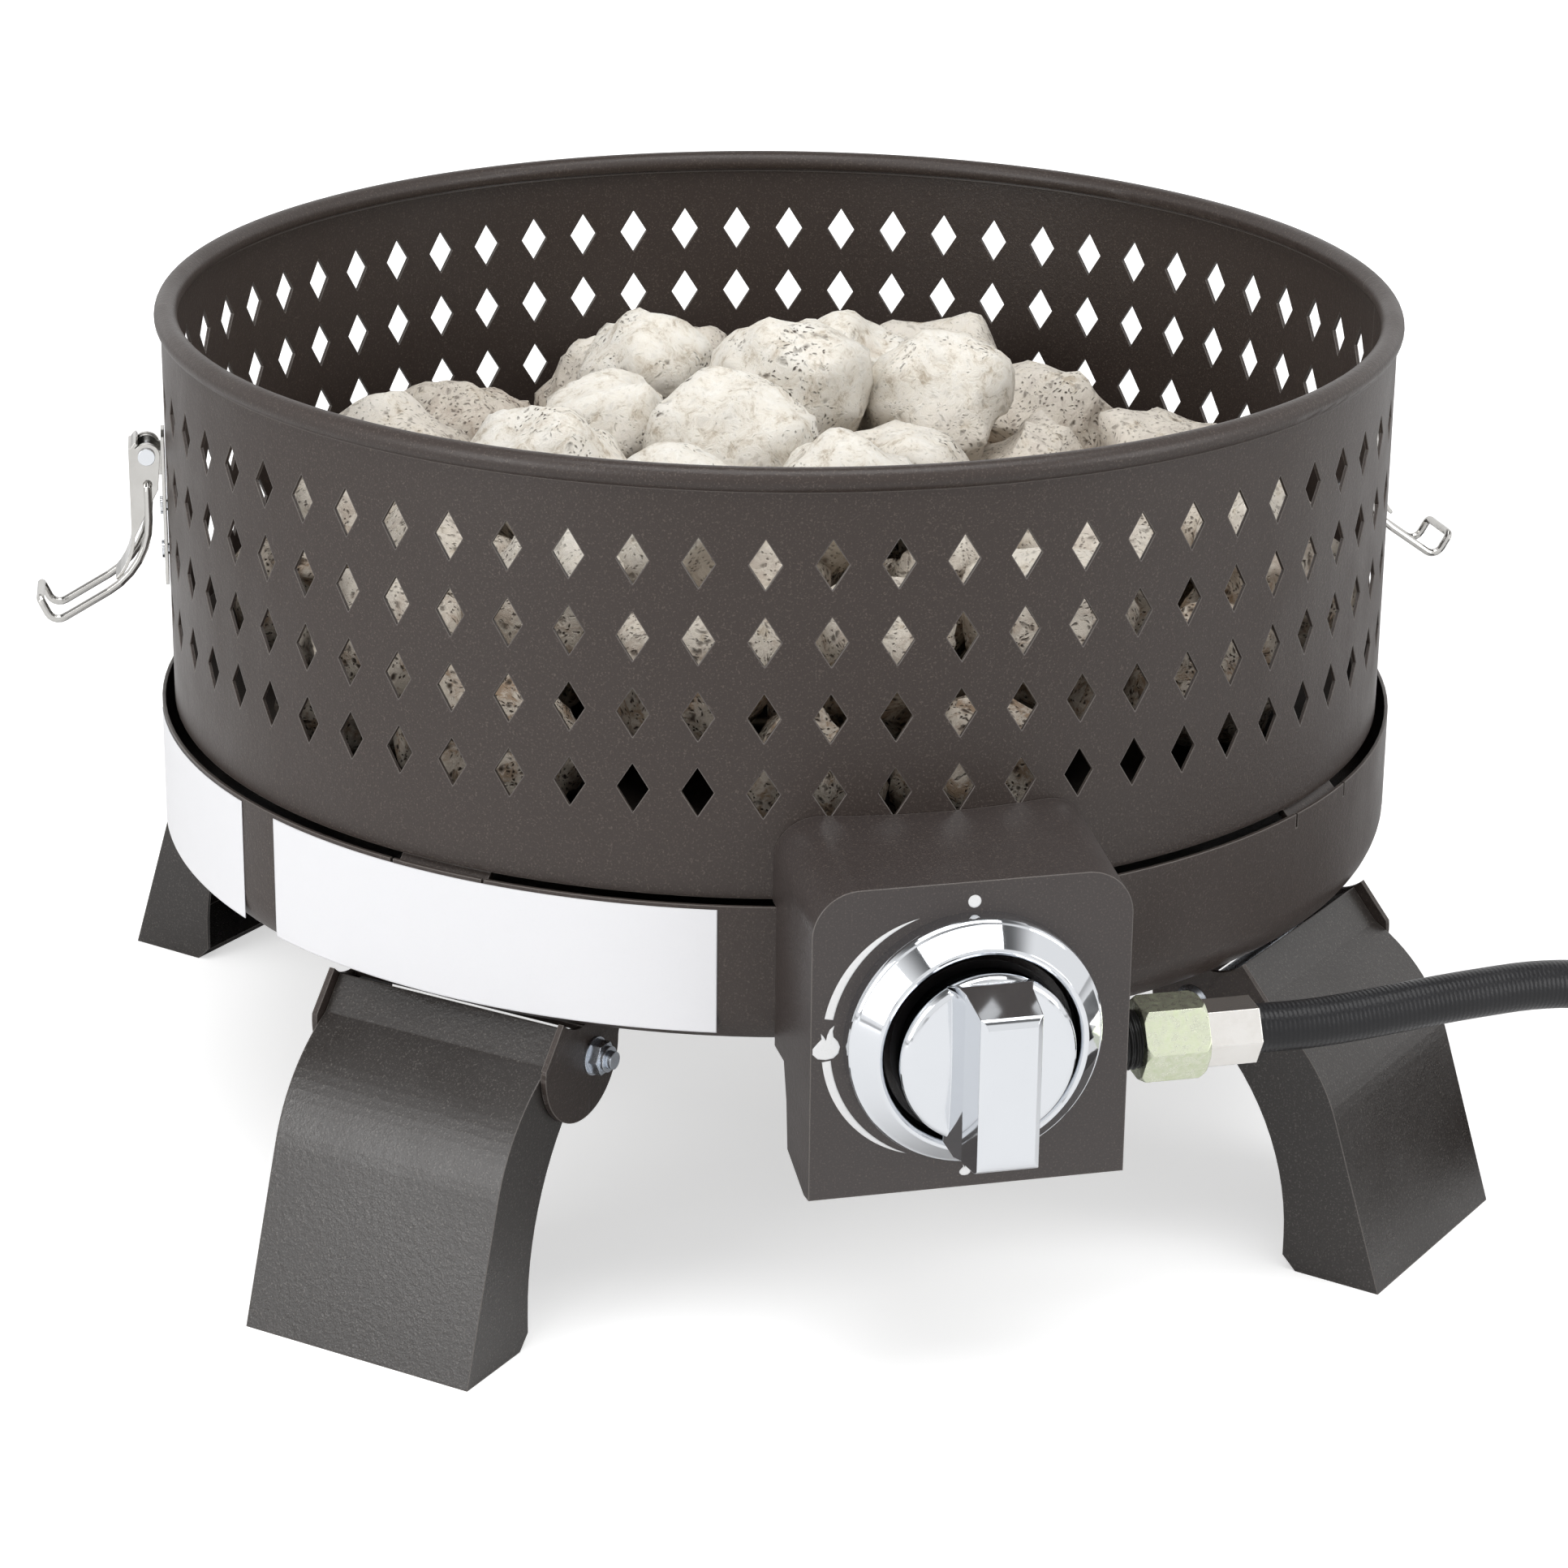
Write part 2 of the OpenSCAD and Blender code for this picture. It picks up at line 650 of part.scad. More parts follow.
function ease(u) = u * u * (3 - 2 * u);
function drop_part(u) = min(1, max(0, (u - coil_in) / 0.5));
function coil_radius(u) = coil_r - coil_dip * sin(180 * drop_part(u))
    - coil_pitch * (u < coil_in ? u : u < coil_in + 0.5 ? coil_in : coil_turns - u);
function coil_height(u) = coil_low + coil_rise * (1 - ease(drop_part(u)));
function coil_point(u) = [coil_c[0] + coil_radius(u) * sin(360 * u), coil_c[1] - coil_radius(u) * cos(360 * u),
    coil_height(u)];
coil_count = round(coil_turns * coil_steps);
coil_path = concat([lead_route[len(lead_route) - 1]],
    [for (i = [0 : coil_count]) coil_point(coil_turns * i / coil_count)], [tail_route[0]]);

function unit(v) = v / norm(v);
function heading(p, i) = unit(p[min(i + 1, len(p) - 1)] - p[max(i - 1, 0)]);
// Sideways directions that turn with the path and never twist about it
function carry(p, i, s) = let (t = heading(p, i), w = unit(s - (s * t) * t))
    i == len(p) - 1 ? [w] : concat([w], carry(p, i + 1, w));
function first_side(t) = abs(t[2]) > 0.9 ? [0, 1, 0] : cross(t, [0, 0, 1]);
function ring_at(p, i, s, r, n) = let (u = cross(s, heading(p, i)))
    [for (k = [0 : n - 1]) p[i] + r * (cos(360 * (k + 0.5) / n) * s + sin(360 * (k + 0.5) / n) * u)];

// One unbroken tube along a list of points
module tube(path, r, n) {
    m = len(path);
    sideways = carry(path, 0, first_side(heading(path, 0)));
    points = [for (i = [0 : m - 1]) each ring_at(path, i, sideways[i], r, n)];
    sides = [for (i = [0 : m - 2], k = [0 : n - 1], half = [0, 1])
        half == 0 ? [i * n + k, i * n + (k + 1) % n, (i + 1) * n + k]
            : [i * n + (k + 1) % n, (i + 1) * n + (k + 1) % n, (i + 1) * n + k]];
    caps = [for (k = [1 : n - 2], end = [0, 1])
        end == 0 ? [0, k + 1, k] : [(m - 1) * n, (m - 1) * n + k, (m - 1) * n + k + 1]];
    polyhedron(points, concat(sides, caps));
}

// Least gap from the coil's tube to itself, measured between points at least half a turn apart
coil_gap = min([for (i = [0 : coil_count], j = [i + coil_steps / 2 : 1 : coil_count])
    norm(coil_path[i + 1] - coil_path[j + 1])]) - hose_d;
hose_length = path_length(lead_route) + path_length(coil_path) + path_length(tail_route);
function path_length(p) = sum([for (i = [1 : len(p) - 1]) norm(p[i] - p[i - 1])]);
function sum(v, i = 0) = i == len(v) ? 0 : v[i] + sum(v, i + 1);
echo(coil_gap = coil_gap, hose_length = hose_length);

module hose_lead() {
    color(rubber) tube(lead_route, hose_r, 10);
}

module hose_coil() {
    color(rubber) tube(coil_path, hose_r, 6);
}

module hose_tail() {
    color(rubber) tube(tail_route, hose_r, 10);
}

// ---------- regulator and cylinder connector ----------
reg_end = tail_route[len(tail_route) - 1];
reg_r = 30;
reg_body_h = 34;
reg_start = ferrule_l;
reg_centre = reg_start + reg_r + 4;
nipple_l = 20;
wheel_l = 40;
wheel_r = reg_end[2];

// Frame along the regulator's axis: +Z runs away from the hose
module on_regulator(out) {
    translate([reg_end[0], reg_end[1] + out, reg_end[2]]) rotate([-90, 0, 0]) children();
}

module regulator_ferrule() {
    color(zinc) on_regulator(0) hexagon(ferrule_flats, ferrule_l, 30);
}

module regulator_body() {
    color(steel) {
        translate([reg_end[0], reg_end[1] + reg_centre, 0]) rotate_extrude($fn = fine)
            polygon(concat([[0, 0], [reg_r - 8, 0], [reg_r - 5, 4], [reg_r - 5, 20]],
                [[reg_r, 24], [reg_r, reg_body_h - 2], [reg_r - 1, reg_body_h], [0, reg_body_h]]));
        on_regulator(reg_start) cylinder(r = 9, h = 14, $fn = coarse);
        on_regulator(reg_centre + reg_r - 12) cylinder(r = 10, h = 16, $fn = coarse);
    }
}

module regulator_cap() {
    color(rubber) translate([reg_end[0], reg_end[1] + reg_centre, reg_body_h]) {
        cylinder(r = reg_r - 4, h = 4, $fn = coarse);
        cylinder(r = 13, h = 12, $fn = coarse);
    }
}

module cylinder_nipple() {
    start = reg_centre + reg_r + 4;
    color(brass) on_regulator(start) {
        cylinder(r = 6, h = nipple_l + 24, $fn = coarse);
        cylinder(r = 9, h = 6, $fn = 6);
        translate([0, 0, nipple_l + 18]) cylinder(r = 9, h = 6, $fn = coarse);
    }
}

module cylinder_handwheel() {
    start = reg_centre + reg_r + 4 + 7;
    color(rubber) on_regulator(start) difference() {
        cylinder(r = wheel_r - 0.1, h = wheel_l, $fn = fine);
        for (i = [0 : 11]) rotate([0, 0, i * 30 + 15]) translate([wheel_r + 2, 0, -1])
            cylinder(r = 4, h = wheel_l - 8, $fn = coarse);
        translate([0, 0, -1]) cylinder(r = 6 + run, h = 12, $fn = coarse);
        translate([0, 0, 10]) cylinder(r = 16, h = wheel_l, $fn = coarse);
    }
}

// ---------- legs ----------
function leg_edge(inset) = concat(
    [leg_crease - inset / cos((leg_bend_top - leg_upper_normal) / 2) * dir((leg_upper_normal + leg_bend_top) / 2)],
    arc(leg_bend_c, leg_bend_r - inset, leg_bend_top - 3, leg_bend_low, 12),
    [[leg_reach - inset / cos(leg_bend_low), 0]]);
leg_flange = 13.8;
leg_top = leg_crease + leg_flange * dir(leg_upper_normal + 90);

// A relief that keeps a folding part off the pan's rounded lower edge
module pan_relief(gap) {
    translate([pan_r - pan_corner, pan_z + pan_corner]) circle(r = pan_corner + gap, $fn = coarse);
}

module leg_side() {
    difference() {
        union() {
            polygon(concat([leg_top - leg_t * dir(leg_upper_normal)], leg_edge(leg_t / 2),
                [[leg_reach - foot_depth, 0], [leg_reach - foot_depth - foot_chamfer, foot_chamfer]],
                arc(leg_rear_c, leg_rear_r, 0, 44, 12),
                [[pivot_r - leg_boss_r * 0.7, pivot_z - leg_boss_r * 0.6], [pivot_r, pivot_z + leg_boss_r],
                 [pivot_r + 9, pivot_z + leg_boss_r]]));
            translate([pivot_r, pivot_z]) circle(r = leg_boss_r, $fn = coarse);
        }
        pan_relief(seat + 0.7);
        translate([pivot_r, pivot_z]) circle(r = bolt_r + run, $fn = coarse);
    }
}

module leg_plate() {
    difference() {
        polygon(concat([leg_top], leg_edge(0), [for (i = [14 : -1 : 0]) leg_edge(leg_t)[min(i, 14)]],
            [leg_top - leg_t * dir(leg_upper_normal)]));
        pan_relief(seat);
    }
}

module leg(a) {
    color(bronze) at_azimuth(a) {
        across(leg_w) leg_plate();
        across(leg_w) polygon([[leg_reach - 1, 0], [leg_reach - foot_depth, 0],
            [leg_reach - foot_depth, leg_t], [leg_reach - 1, leg_t]]);
        for (side = [-1, 1]) translate([0, side * (leg_w - leg_t) / 2, 0]) across(leg_t) leg_side();
    }
}

module leg_front_right() {
    leg(leg_azimuths[0]);
}

module leg_rear_right() {
    leg(leg_azimuths[1]);
}

module leg_rear_left() {
    leg(leg_azimuths[2]);
}

module leg_front_left() {
    leg(leg_azimuths[3]);
}

// ---------- hinge brackets ----------
ear_r = 22;
ear_c = [pivot_r + 7, pivot_z + 2];
ear_in = leg_w / 2 + slip;
bracket_rivet_x = pivot_r - 6;
bracket_rivet_y = [-22, 22];
bracket_rivet_r = 2.4;

module ear_outline() {
    difference() {
        union() {
            translate(ear_c) circle(r = ear_r, $fn = coarse);
            polygon([[ear_c[0] - ear_r - 3, pan_z], [ear_c[0] - ear_r, ear_c[1]], [ear_c[0] + ear_r, ear_c[1]],
                [pan_r + 1, pan_z + 7], [pan_r - pan_corner, pan_z]]);
        }
        pan_relief(seat);
        translate([0, pan_z]) square([pan_r - pan_corner, 60]);
        translate([pivot_r, pivot_z]) circle(r = bolt_r + run, $fn = coarse);
    }
}

module bracket(a) {
    color(bronze) at_azimuth(a) {
        for (side = [-1, 1]) translate([0, side * (ear_in + ear_t / 2), 0]) across(ear_t) ear_outline();
        difference() {
            translate([ear_c[0] - ear_r - 3, -ear_in - ear_t, pan_z - ear_t])
                cube([pan_r - pan_corner - ear_c[0] + ear_r + 3, 2 * (ear_in + ear_t), ear_t]);
            for (y = bracket_rivet_y) translate([bracket_rivet_x, y, pan_z - ear_t - 1])
                cylinder(r = bracket_rivet_r + run, h = ear_t + 2, $fn = coarse);
        }
    }
}

module bracket_front_right() {
    bracket(leg_azimuths[0]);
}

module bracket_rear_right() {
    bracket(leg_azimuths[1]);
}

module bracket_rear_left() {
    bracket(leg_azimuths[2]);
}

module bracket_front_left() {
    bracket(leg_azimuths[3]);
}

module bracket_rivets() {
    color(steel) for (a = leg_azimuths, y = bracket_rivet_y)
        at_azimuth(a) translate([bracket_rivet_x, y, 0]) {
            translate([0, 0, pan_z - ear_t]) cylinder(r = bracket_rivet_r, h = ear_t + pan_t, $fn = coarse);
            translate([0, 0, pan_z - ear_t - 1.6]) cylinder(r = 4.5, h = 1.6, $fn = coarse);
            translate([0, 0, pan_z + pan_t]) cylinder(r = 4, h = 1.4, $fn = coarse);
        }
}

// ---------- pivot bolts ----------
bolt_face = ear_in + ear_t;
nut_af = 10;
nut_t = 6;

module pivot_bolts() {
    color(zinc) for (a = leg_azimuths)
        at_azimuth(a) translate([pivot_r, -bolt_face, pivot_z]) rotate([-90, 0, 0]) {
            translate([0, 0, -1]) cylinder(r = bolt_r, h = 2 * bolt_face + nut_t + 3, $fn = coarse);
            rotate_extrude($fn = coarse) polygon(concat([[0, 0]], arc([0, 3.8], 7.2, -32, -90, 6), [[0, 0]]));
        }
}

module pivot_nuts() {
    color(zinc) for (a = leg_azimuths)
        at_azimuth(a) translate([pivot_r, bolt_face, pivot_z]) rotate([-90, 0, 0]) difference() {
            union() {
                hexagon(nut_af, nut_t - 1.5);
                cylinder(r = nut_af / 2 - 0.6, h = nut_t, $fn = coarse);
                cylinder(r = 6.5, h = 0.8, $fn = coarse);
            }
            translate([0, 0, -1]) cylinder(r = bolt_r + run, h = nut_t + 2, $fn = coarse);
        }
}

// ---------- latches ----------
latch_out = 6.5;
latch_z = rim_z - 52.5;
bail_drop = 10;
base_low = latch_z - 46;
base_window = latch_z - 7;
base_half = 10;
ear_half = lever_w / 2 - latch_t - slip;
ear_wide = 1.5;
base_ear_r = 4.2;
pin_r = 1.7;
bail_run = 12;
bail_bend = 30;
bail_sweep = 60;
bail_arm = 18;
hook_bend = 4;
hook_turn = 95;
hook_arm = 4;
wire_corner = 1.7;
bail_half = lever_w / 2 + slip / 2 + wire_corner;
latch_rivet_r = 2;
latch_rivet_z = [latch_z - 20, latch_z - 36];

function latch_azimuth(side) = side > 0 ? latch_right_turn : 180 - latch_left_turn;

// Latch frame: origin on the lever's pivot, +X away from the ring, +Z up
module on_latch(side) {
    at_azimuth(latch_azimuth(side)) translate([ring_r + latch_out, 0, latch_z]) children();
}

module latch_base(side) {
    wall = -latch_out + seat;
    color(chrome) difference() {
        on_latch(side) difference() {
            union() {
                translate([wall, -base_half, base_low - latch_z])
                    cube([latch_t, 2 * base_half, latch_z - base_low + 6]);
                for (y = [-1, 1]) translate([0, y * (ear_half - ear_wide / 2), 0]) across(ear_wide) {
                    circle(r = base_ear_r, $fn = coarse);
                    polygon([[wall, -7], [0, -7], base_ear_r * dir(90), base_ear_r * dir(120), base_ear_r * dir(150),
                        [wall, 1]]);
                }
            }
            translate([wall - 1, -ear_half + ear_wide, base_window - latch_z])
                cube([latch_t + 2, 2 * (ear_half - ear_wide), 20]);
            rotate([90, 0, 0]) cylinder(r = pin_r + run, h = 40, center = true, $fn = coarse);
            for (z = latch_rivet_z) translate([wall - 1, 0, z - latch_z]) rotate([0, 90, 0])
                cylinder(r = latch_rivet_r + run, h = 4, $fn = coarse);
        }
        translate([0, axis_y, 0]) cylinder(r = ring_r + 0.1, h = rim_z, $fn = fine);
    }
}

module lever_cheek() {
    difference() {
        union() {
            circle(r = 4.6, $fn = coarse);
            polygon([[0, 0], [-4.6, 0], [-3.6, -12], [1.5, -22], [5, -29], [6.2, -29], [6.2, 0]]);
            square([6.2, 3]);
        }
        circle(r = pin_r + run, $fn = coarse);
        translate([0, -bail_drop]) circle(r = wire_r + run, $fn = coarse);
    }
}

module lever_front() {
    polygon(concat([[5, 3], [6.2, 3], [6.2, -28]], arc([30, -28], 23.8, 180, 222, 6),
        arc([30, -28], 25, 222, 180, 6)));
    difference() {
        circle(r = 6.2, $fn = coarse);
        circle(r = 5, $fn = coarse);
        polygon([[0, 0], [20, 0], [20, -20], [-20, -20], [-20, 20], [14, 20]]);
    }
}

module latch_lever(side) {
    color(chrome) on_latch(side) {
        for (y = [-1, 1]) translate([0, y * (lever_w - latch_t) / 2, 0]) across(latch_t) lever_cheek();
        across(lever_w) lever_front();
    }
}

module latch_pins() {
    half = lever_w / 2;
    color(chrome) for (side = [-1, 1]) on_latch(side) rotate([90, 0, 0]) {
        cylinder(r = pin_r, h = 2 * half + 0.4, center = true, $fn = coarse);
        for (end = [-1, 1]) translate([0, 0, end * (half + 0.7)])
            cylinder(r = 3, h = 1, center = true, $fn = coarse);
    }
}

module latch_rivets() {
    color(chrome) for (side = [-1, 1], z = latch_rivet_z) on_latch(side)
        translate([-latch_out, 0, z - latch_z]) rotate([0, 90, 0]) {
            translate([0, 0, -ring_t - 1]) cylinder(r = latch_rivet_r, h = ring_t + latch_t + seat + 1.5, $fn = coarse);
            translate([0, 0, latch_t + seat]) cylinder(r = 3.2, h = 1, $fn = coarse);
            translate([0, 0, -ring_t - 1.1]) cylinder(r = 3.2, h = 1, $fn = coarse);
        }
}

// Centre line of one side of the bail, from its eye in the lever down to the hook's crossbar
bail_dir = [sin(bail_sweep), 0, -cos(bail_sweep)];
bail_norm = [cos(bail_sweep), 0, sin(bail_sweep)];
hook_dir = cos(hook_turn) * bail_dir + sin(hook_turn) * bail_norm;
bail_end = [bail_bend * (1 - cos(bail_sweep)), bail_half, -bail_drop - bail_run - bail_bend * sin(bail_sweep)]
    + bail_arm * bail_dir;
hook_end = bail_end + hook_bend * (sin(hook_turn) * bail_dir + (1 - cos(hook_turn)) * bail_norm)
    + hook_arm * hook_dir;
bail_side = concat(
    [[0, lever_w / 2 - latch_t, -bail_drop]],
    [for (t = [0 : 30 : 90]) [0, bail_half - wire_corner * (1 - sin(t)), -bail_drop - wire_corner * (1 - cos(t))]],
    [for (t = [0 : 10 : bail_sweep]) [bail_bend * (1 - cos(t)), bail_half,
        -bail_drop - bail_run - bail_bend * sin(t)]],
    [for (t = [0 : 19 : hook_turn]) bail_end + hook_bend * (sin(t) * bail_dir + (1 - cos(t)) * bail_norm)],
    [for (t = [0 : 30 : 90]) hook_end + wire_corner * (sin(t) * hook_dir + (1 - cos(t)) * [0, -1, 0])]);
bail_path = concat(bail_side, [for (i = [len(bail_side) - 1 : -1 : 0])
    [bail_side[i][0], -bail_side[i][1], bail_side[i][2]]]);

module latch_bail(side) {
    turn = side > 0 ? bail_right_turn : 0;
    color(chrome) on_latch(side) translate([0, 0, -bail_drop]) rotate([0, turn, 0]) translate([0, 0, bail_drop])
        tube(bail_path, wire_r, 10);
}

module latch_base_right() {
    latch_base(1);
}

module latch_base_left() {
    latch_base(-1);
}

module latch_lever_right() {
    latch_lever(1);
}

module latch_lever_left() {
    latch_lever(-1);
}

module latch_bail_right() {
    latch_bail(1);
}

module latch_bail_left() {
    latch_bail(-1);
}

// ---------- lava rocks ----------
// Stones sit on a jittered grid. Each is a lump about its centre that stops short of the planes
// midway to its neighbours, of the ring, of the tray and of the burner.
rock_gap = 0.3;
rock_reach = 0.7;
rock_rows = 4;
rock_layers = [
    [tray_top_z + 28, [0, 0], ring_r - 33], [tray_top_z + 57, [0.5, 0.29], ring_r - 32],
    [tray_top_z + 84, [0.1, 0.5], ring_r * 0.47]];
rock_wall = ring_r - ring_t - 1.5;

function jitter(i, k) = rands(-1, 1, 3, 17 * i + 101 * k + 5);
function layer_centres(n) = let (layer = rock_layers[n])
    [for (j = [-rock_rows : rock_rows], i = [-rock_rows - 1 : rock_rows + 1])
        let (x = (i + layer[1][0] + (j % 2 == 0 ? 0 : 0.5)) * rock_pitch,
            y = (j + layer[1][1]) * rock_pitch * 0.866,
            w = jitter(i + 20 * j, n))
        if (norm([x, y]) < layer[2]) [x + 5 * w[0], y + 5 * w[1], layer[0] + 5 * w[2]
            + (n == 0 && norm([x, y]) < burner_r + 35 ? 8 : 0)]];
rock_centres = [for (n = [0 : len(rock_layers) - 1]) each layer_centres(n)];
lower_count = len(layer_centres(0));

// Unit directions of a lump: two poles and five rings of eight, turned for each stone
function lump_dirs(i) = let (q = rands(0, 360, 2, 900 + i))
    [for (v = concat([[0, 0, 1]], [for (a = [60, 30, 0, -30, -60], k = [0 : 7])
        [cos(a) * cos(45 * k), cos(a) * sin(45 * k), sin(a)]], [[0, 0, -1]]))
        let (w = [v[0], v[1] * cos(q[0]) - v[2] * sin(q[0]), v[1] * sin(q[0]) + v[2] * cos(q[0])])
        [w[0] * cos(q[1]) - w[1] * sin(q[1]), w[0] * sin(q[1]) + w[1] * cos(q[1]), w[2]]];

function wall_limit(c, d) = let (a = d[0] * d[0] + d[1] * d[1], b = c[0] * d[0] + c[1] * d[1],
    e = c[0] * c[0] + c[1] * c[1] - rock_wall * rock_wall) a < 0.001 ? 999 : (-b + sqrt(b * b - a * e)) / a;
function plane_limit(room, along) = along > 0.001 ? room / along : 999;
function floor_limit(c, d) = let (r = norm([c[0], c[1]]), over = r < burner_r + 35,
    base = tray_top_z + (over ? hub_h : 0) + rock_gap)
    min(plane_limit(c[2] - base, -d[2]),
        over ? 999 : plane_limit(r - burner_r - burner_tube_r - 1, -(c[0] * d[0] + c[1] * d[1]) / r));
function tray_limit(c, d) = plane_limit(tray_r - tray_t - 2 - norm([c[0], c[1]]) + max(0, c[2] - tray_rim_z - 8),
    (c[0] * d[0] + c[1] * d[1]) / max(1, norm([c[0], c[1]])));
function neighbour_limit(c, d) = min([for (o = rock_centres) let (s = o - c, l = norm(s))
    if (l > 1 && l < 2.2 * rock_pitch) plane_limit(l / 2 - rock_gap / 2, s * d / l)]);
// Distance from a lump's centre to the skin of an egg with three unequal axes, the upright one the shortest
rock_flatness = 0.82;
function lump_size(shape, d) = rock_reach * rock_pitch
    / norm([d[0] / shape[0], d[1] / shape[1], d[2] / (shape[2] * rock_flatness)]);
function lump_points(i) = let (c = rock_centres[i], ds = lump_dirs(i), rough = rands(0.88, 1, 42, 300 + i), shape = rands(0.72, 1.06, 3, 600 + i))
    [for (k = [0 : 41]) c + ds[k] * min(lump_size(shape, ds[k]) * rough[k], wall_limit(c, ds[k]),
        floor_limit(c, ds[k]), tray_limit(c, ds[k]), neighbour_limit(c, ds[k]))];
lump_faces = concat(
    [for (k = [0 : 7]) [0, 1 + (k + 1) % 8, 1 + k]],
    [for (b = [0 : 3], k = [0 : 7], half = [0, 1]) let (p = 1 + 8 * b + k, q = 1 + 8 * b + (k + 1) % 8)
        half == 0 ? [p, q, p + 8] : [q, q + 8, p + 8]],
    [for (k = [0 : 7]) [41, 33 + k, 33 + (k + 1) % 8]]);

module rocks(first, last) {
    color(stone) translate([0, axis_y, 0]) for (i = [first : last]) polyhedron(lump_points(i), lump_faces);
}

module rocks_lower() {
    rocks(0, lower_count - 1);
}

module rocks_upper() {
    rocks(lower_count, len(rock_centres) - 1);
}

ring_front();
ring_rear();
base_pan();
rock_tray();
burner();
burner_screws();
mixing_tube();
air_shutter();
gas_orifice();
valve_body();
stem_collar();
valve_stem();
rocks_lower();
rocks_upper();
control_box();
box_screws();
bezel();
knob();
inlet_fitting();
flare_nut();
hose_ferrule();
hose_lead();
hose_coil();
hose_tail();
regulator_ferrule();
regulator_body();
regulator_cap();
cylinder_nipple();
cylinder_handwheel();
leg_front_right();
leg_rear_right();
leg_rear_left();
leg_front_left();
bracket_front_right();
bracket_rear_right();
bracket_rear_left();
bracket_front_left();
bracket_rivets();
pivot_bolts();
pivot_nuts();
latch_base_right();
latch_base_left();
latch_pins();
latch_rivets();
latch_lever_right();
latch_lever_left();
latch_bail_right();
latch_bail_left();
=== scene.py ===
"""Tabletop gas fire pit: camera, studio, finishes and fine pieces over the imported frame."""

import json
import logging
import math
from dataclasses import dataclass, field
from enum import Enum

import bpy
from mathutils import Matrix, Vector
from mathutils.geometry import convex_hull_2d


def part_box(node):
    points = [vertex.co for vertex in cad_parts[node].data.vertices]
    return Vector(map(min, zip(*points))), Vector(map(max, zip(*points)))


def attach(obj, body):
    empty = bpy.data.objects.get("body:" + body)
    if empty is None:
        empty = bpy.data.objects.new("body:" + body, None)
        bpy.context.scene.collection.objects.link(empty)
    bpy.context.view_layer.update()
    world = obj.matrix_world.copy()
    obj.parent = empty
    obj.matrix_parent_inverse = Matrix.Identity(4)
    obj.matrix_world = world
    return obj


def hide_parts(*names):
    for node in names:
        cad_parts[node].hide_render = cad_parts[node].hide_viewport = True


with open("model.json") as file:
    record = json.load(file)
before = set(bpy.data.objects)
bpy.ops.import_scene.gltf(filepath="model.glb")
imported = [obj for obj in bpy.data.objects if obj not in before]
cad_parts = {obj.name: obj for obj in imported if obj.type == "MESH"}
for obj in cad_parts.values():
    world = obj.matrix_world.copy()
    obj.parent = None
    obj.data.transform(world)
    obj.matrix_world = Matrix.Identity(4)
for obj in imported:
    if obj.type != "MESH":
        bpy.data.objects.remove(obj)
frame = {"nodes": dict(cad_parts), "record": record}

LOG = logging.getLogger("fire_pit")
Point = tuple[float, float, float]
Colour = tuple[float, float, float]
Socket = bpy.types.NodeSocket

RING_AXIS_Y = (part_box("ring_front")[0][1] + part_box("ring_rear")[1][1]) / 2
LEG_AZIMUTHS = {"front_right": -46.5, "rear_right": 46.5, "rear_left": 133.5, "front_left": 226.5}
MERGE = 1e-6
WHITE = (1.0, 1.0, 1.0)
# By what a Mix node mixes: its inputs for the first and the second value, and its output.
MIX_SOCKETS = {"FLOAT": (2, 3, 0), "RGBA": (6, 7, 2)}
RANGE_SOCKETS = ("Value", "From Min", "From Max", "To Min", "To Max")
COLOUR = "NodeSocketColor"
VALUE = "NodeSocketFloat"
VECTOR = "NodeSocketVector"
GRAIN_INPUTS = {"Base": COLOUR, "Second": COLOUR, "Amount": VALUE, "Gloss": VALUE}
GRAIN_OUTPUTS = {"Color": COLOUR, "Roughness": VALUE, "Height": VALUE}


class Body(Enum):
    """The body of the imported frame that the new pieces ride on."""

    PIT = "fire_pit"


class Look(Enum):
    """The finishes of the fire pit, by the names of their materials."""

    BRONZE_COAT = "bronze powder coat"
    LEG_COAT = "leg coat"
    HEAT_COAT = "inner heat coat"
    BOX_COAT = "control box coat"
    TINTED_STEEL = "heat tinted steel"
    ZINC = "zinc plate"
    NICKEL = "bright nickel"
    WIRE = "polished wire"
    YELLOW_ZINC = "yellow zinc plate"
    BRASS = "machined brass"
    CHROME = "bright chrome"
    BLACK_FITTING = "black fitting"
    CASTING = "grey casting"
    PLASTIC = "black moulded plastic"
    PRINT = "white print"
    LABEL = "white label film"
    STONE = "pitted lava rock"
    RUBBER = "black hose rubber"


# ------------------------ small helpers


def at_ring(azimuth: float, radius: float, height: float) -> Vector:
    """Places a point by its azimuth about the ring's axis.

    Args:
        azimuth: Degrees counter-clockwise from +X, seen from above.
        radius: Distance from the ring's axis, in metres.
        height: Height over the floor, in metres.

    Returns:
        The point in the row frame.
    """
    a = math.radians(azimuth)
    return Vector((radius * math.cos(a), RING_AXIS_Y + radius * math.sin(a), height))


def unselect() -> None:
    """Leaves edit mode and deselects every object."""
    if bpy.context.object and bpy.context.object.mode != "OBJECT":
        bpy.ops.object.mode_set(mode="OBJECT")
    bpy.ops.object.select_all(action="DESELECT")


def pick(piece: bpy.types.Object) -> None:
    """Makes one object the only selected and the active one."""
    unselect()
    piece.select_set(True)
    bpy.context.view_layer.objects.active = piece


def settle(piece: bpy.types.Object) -> None:
    """Moves a piece's place, turn and scale into its mesh."""
    pick(piece)
    bpy.ops.object.transform_apply(location=True, rotation=True, scale=True)


def apply_all(piece: bpy.types.Object) -> None:
    """Applies every modifier on a piece, in order."""
    pick(piece)
    for name in [m.name for m in piece.modifiers]:
        bpy.ops.object.modifier_apply(modifier=name)


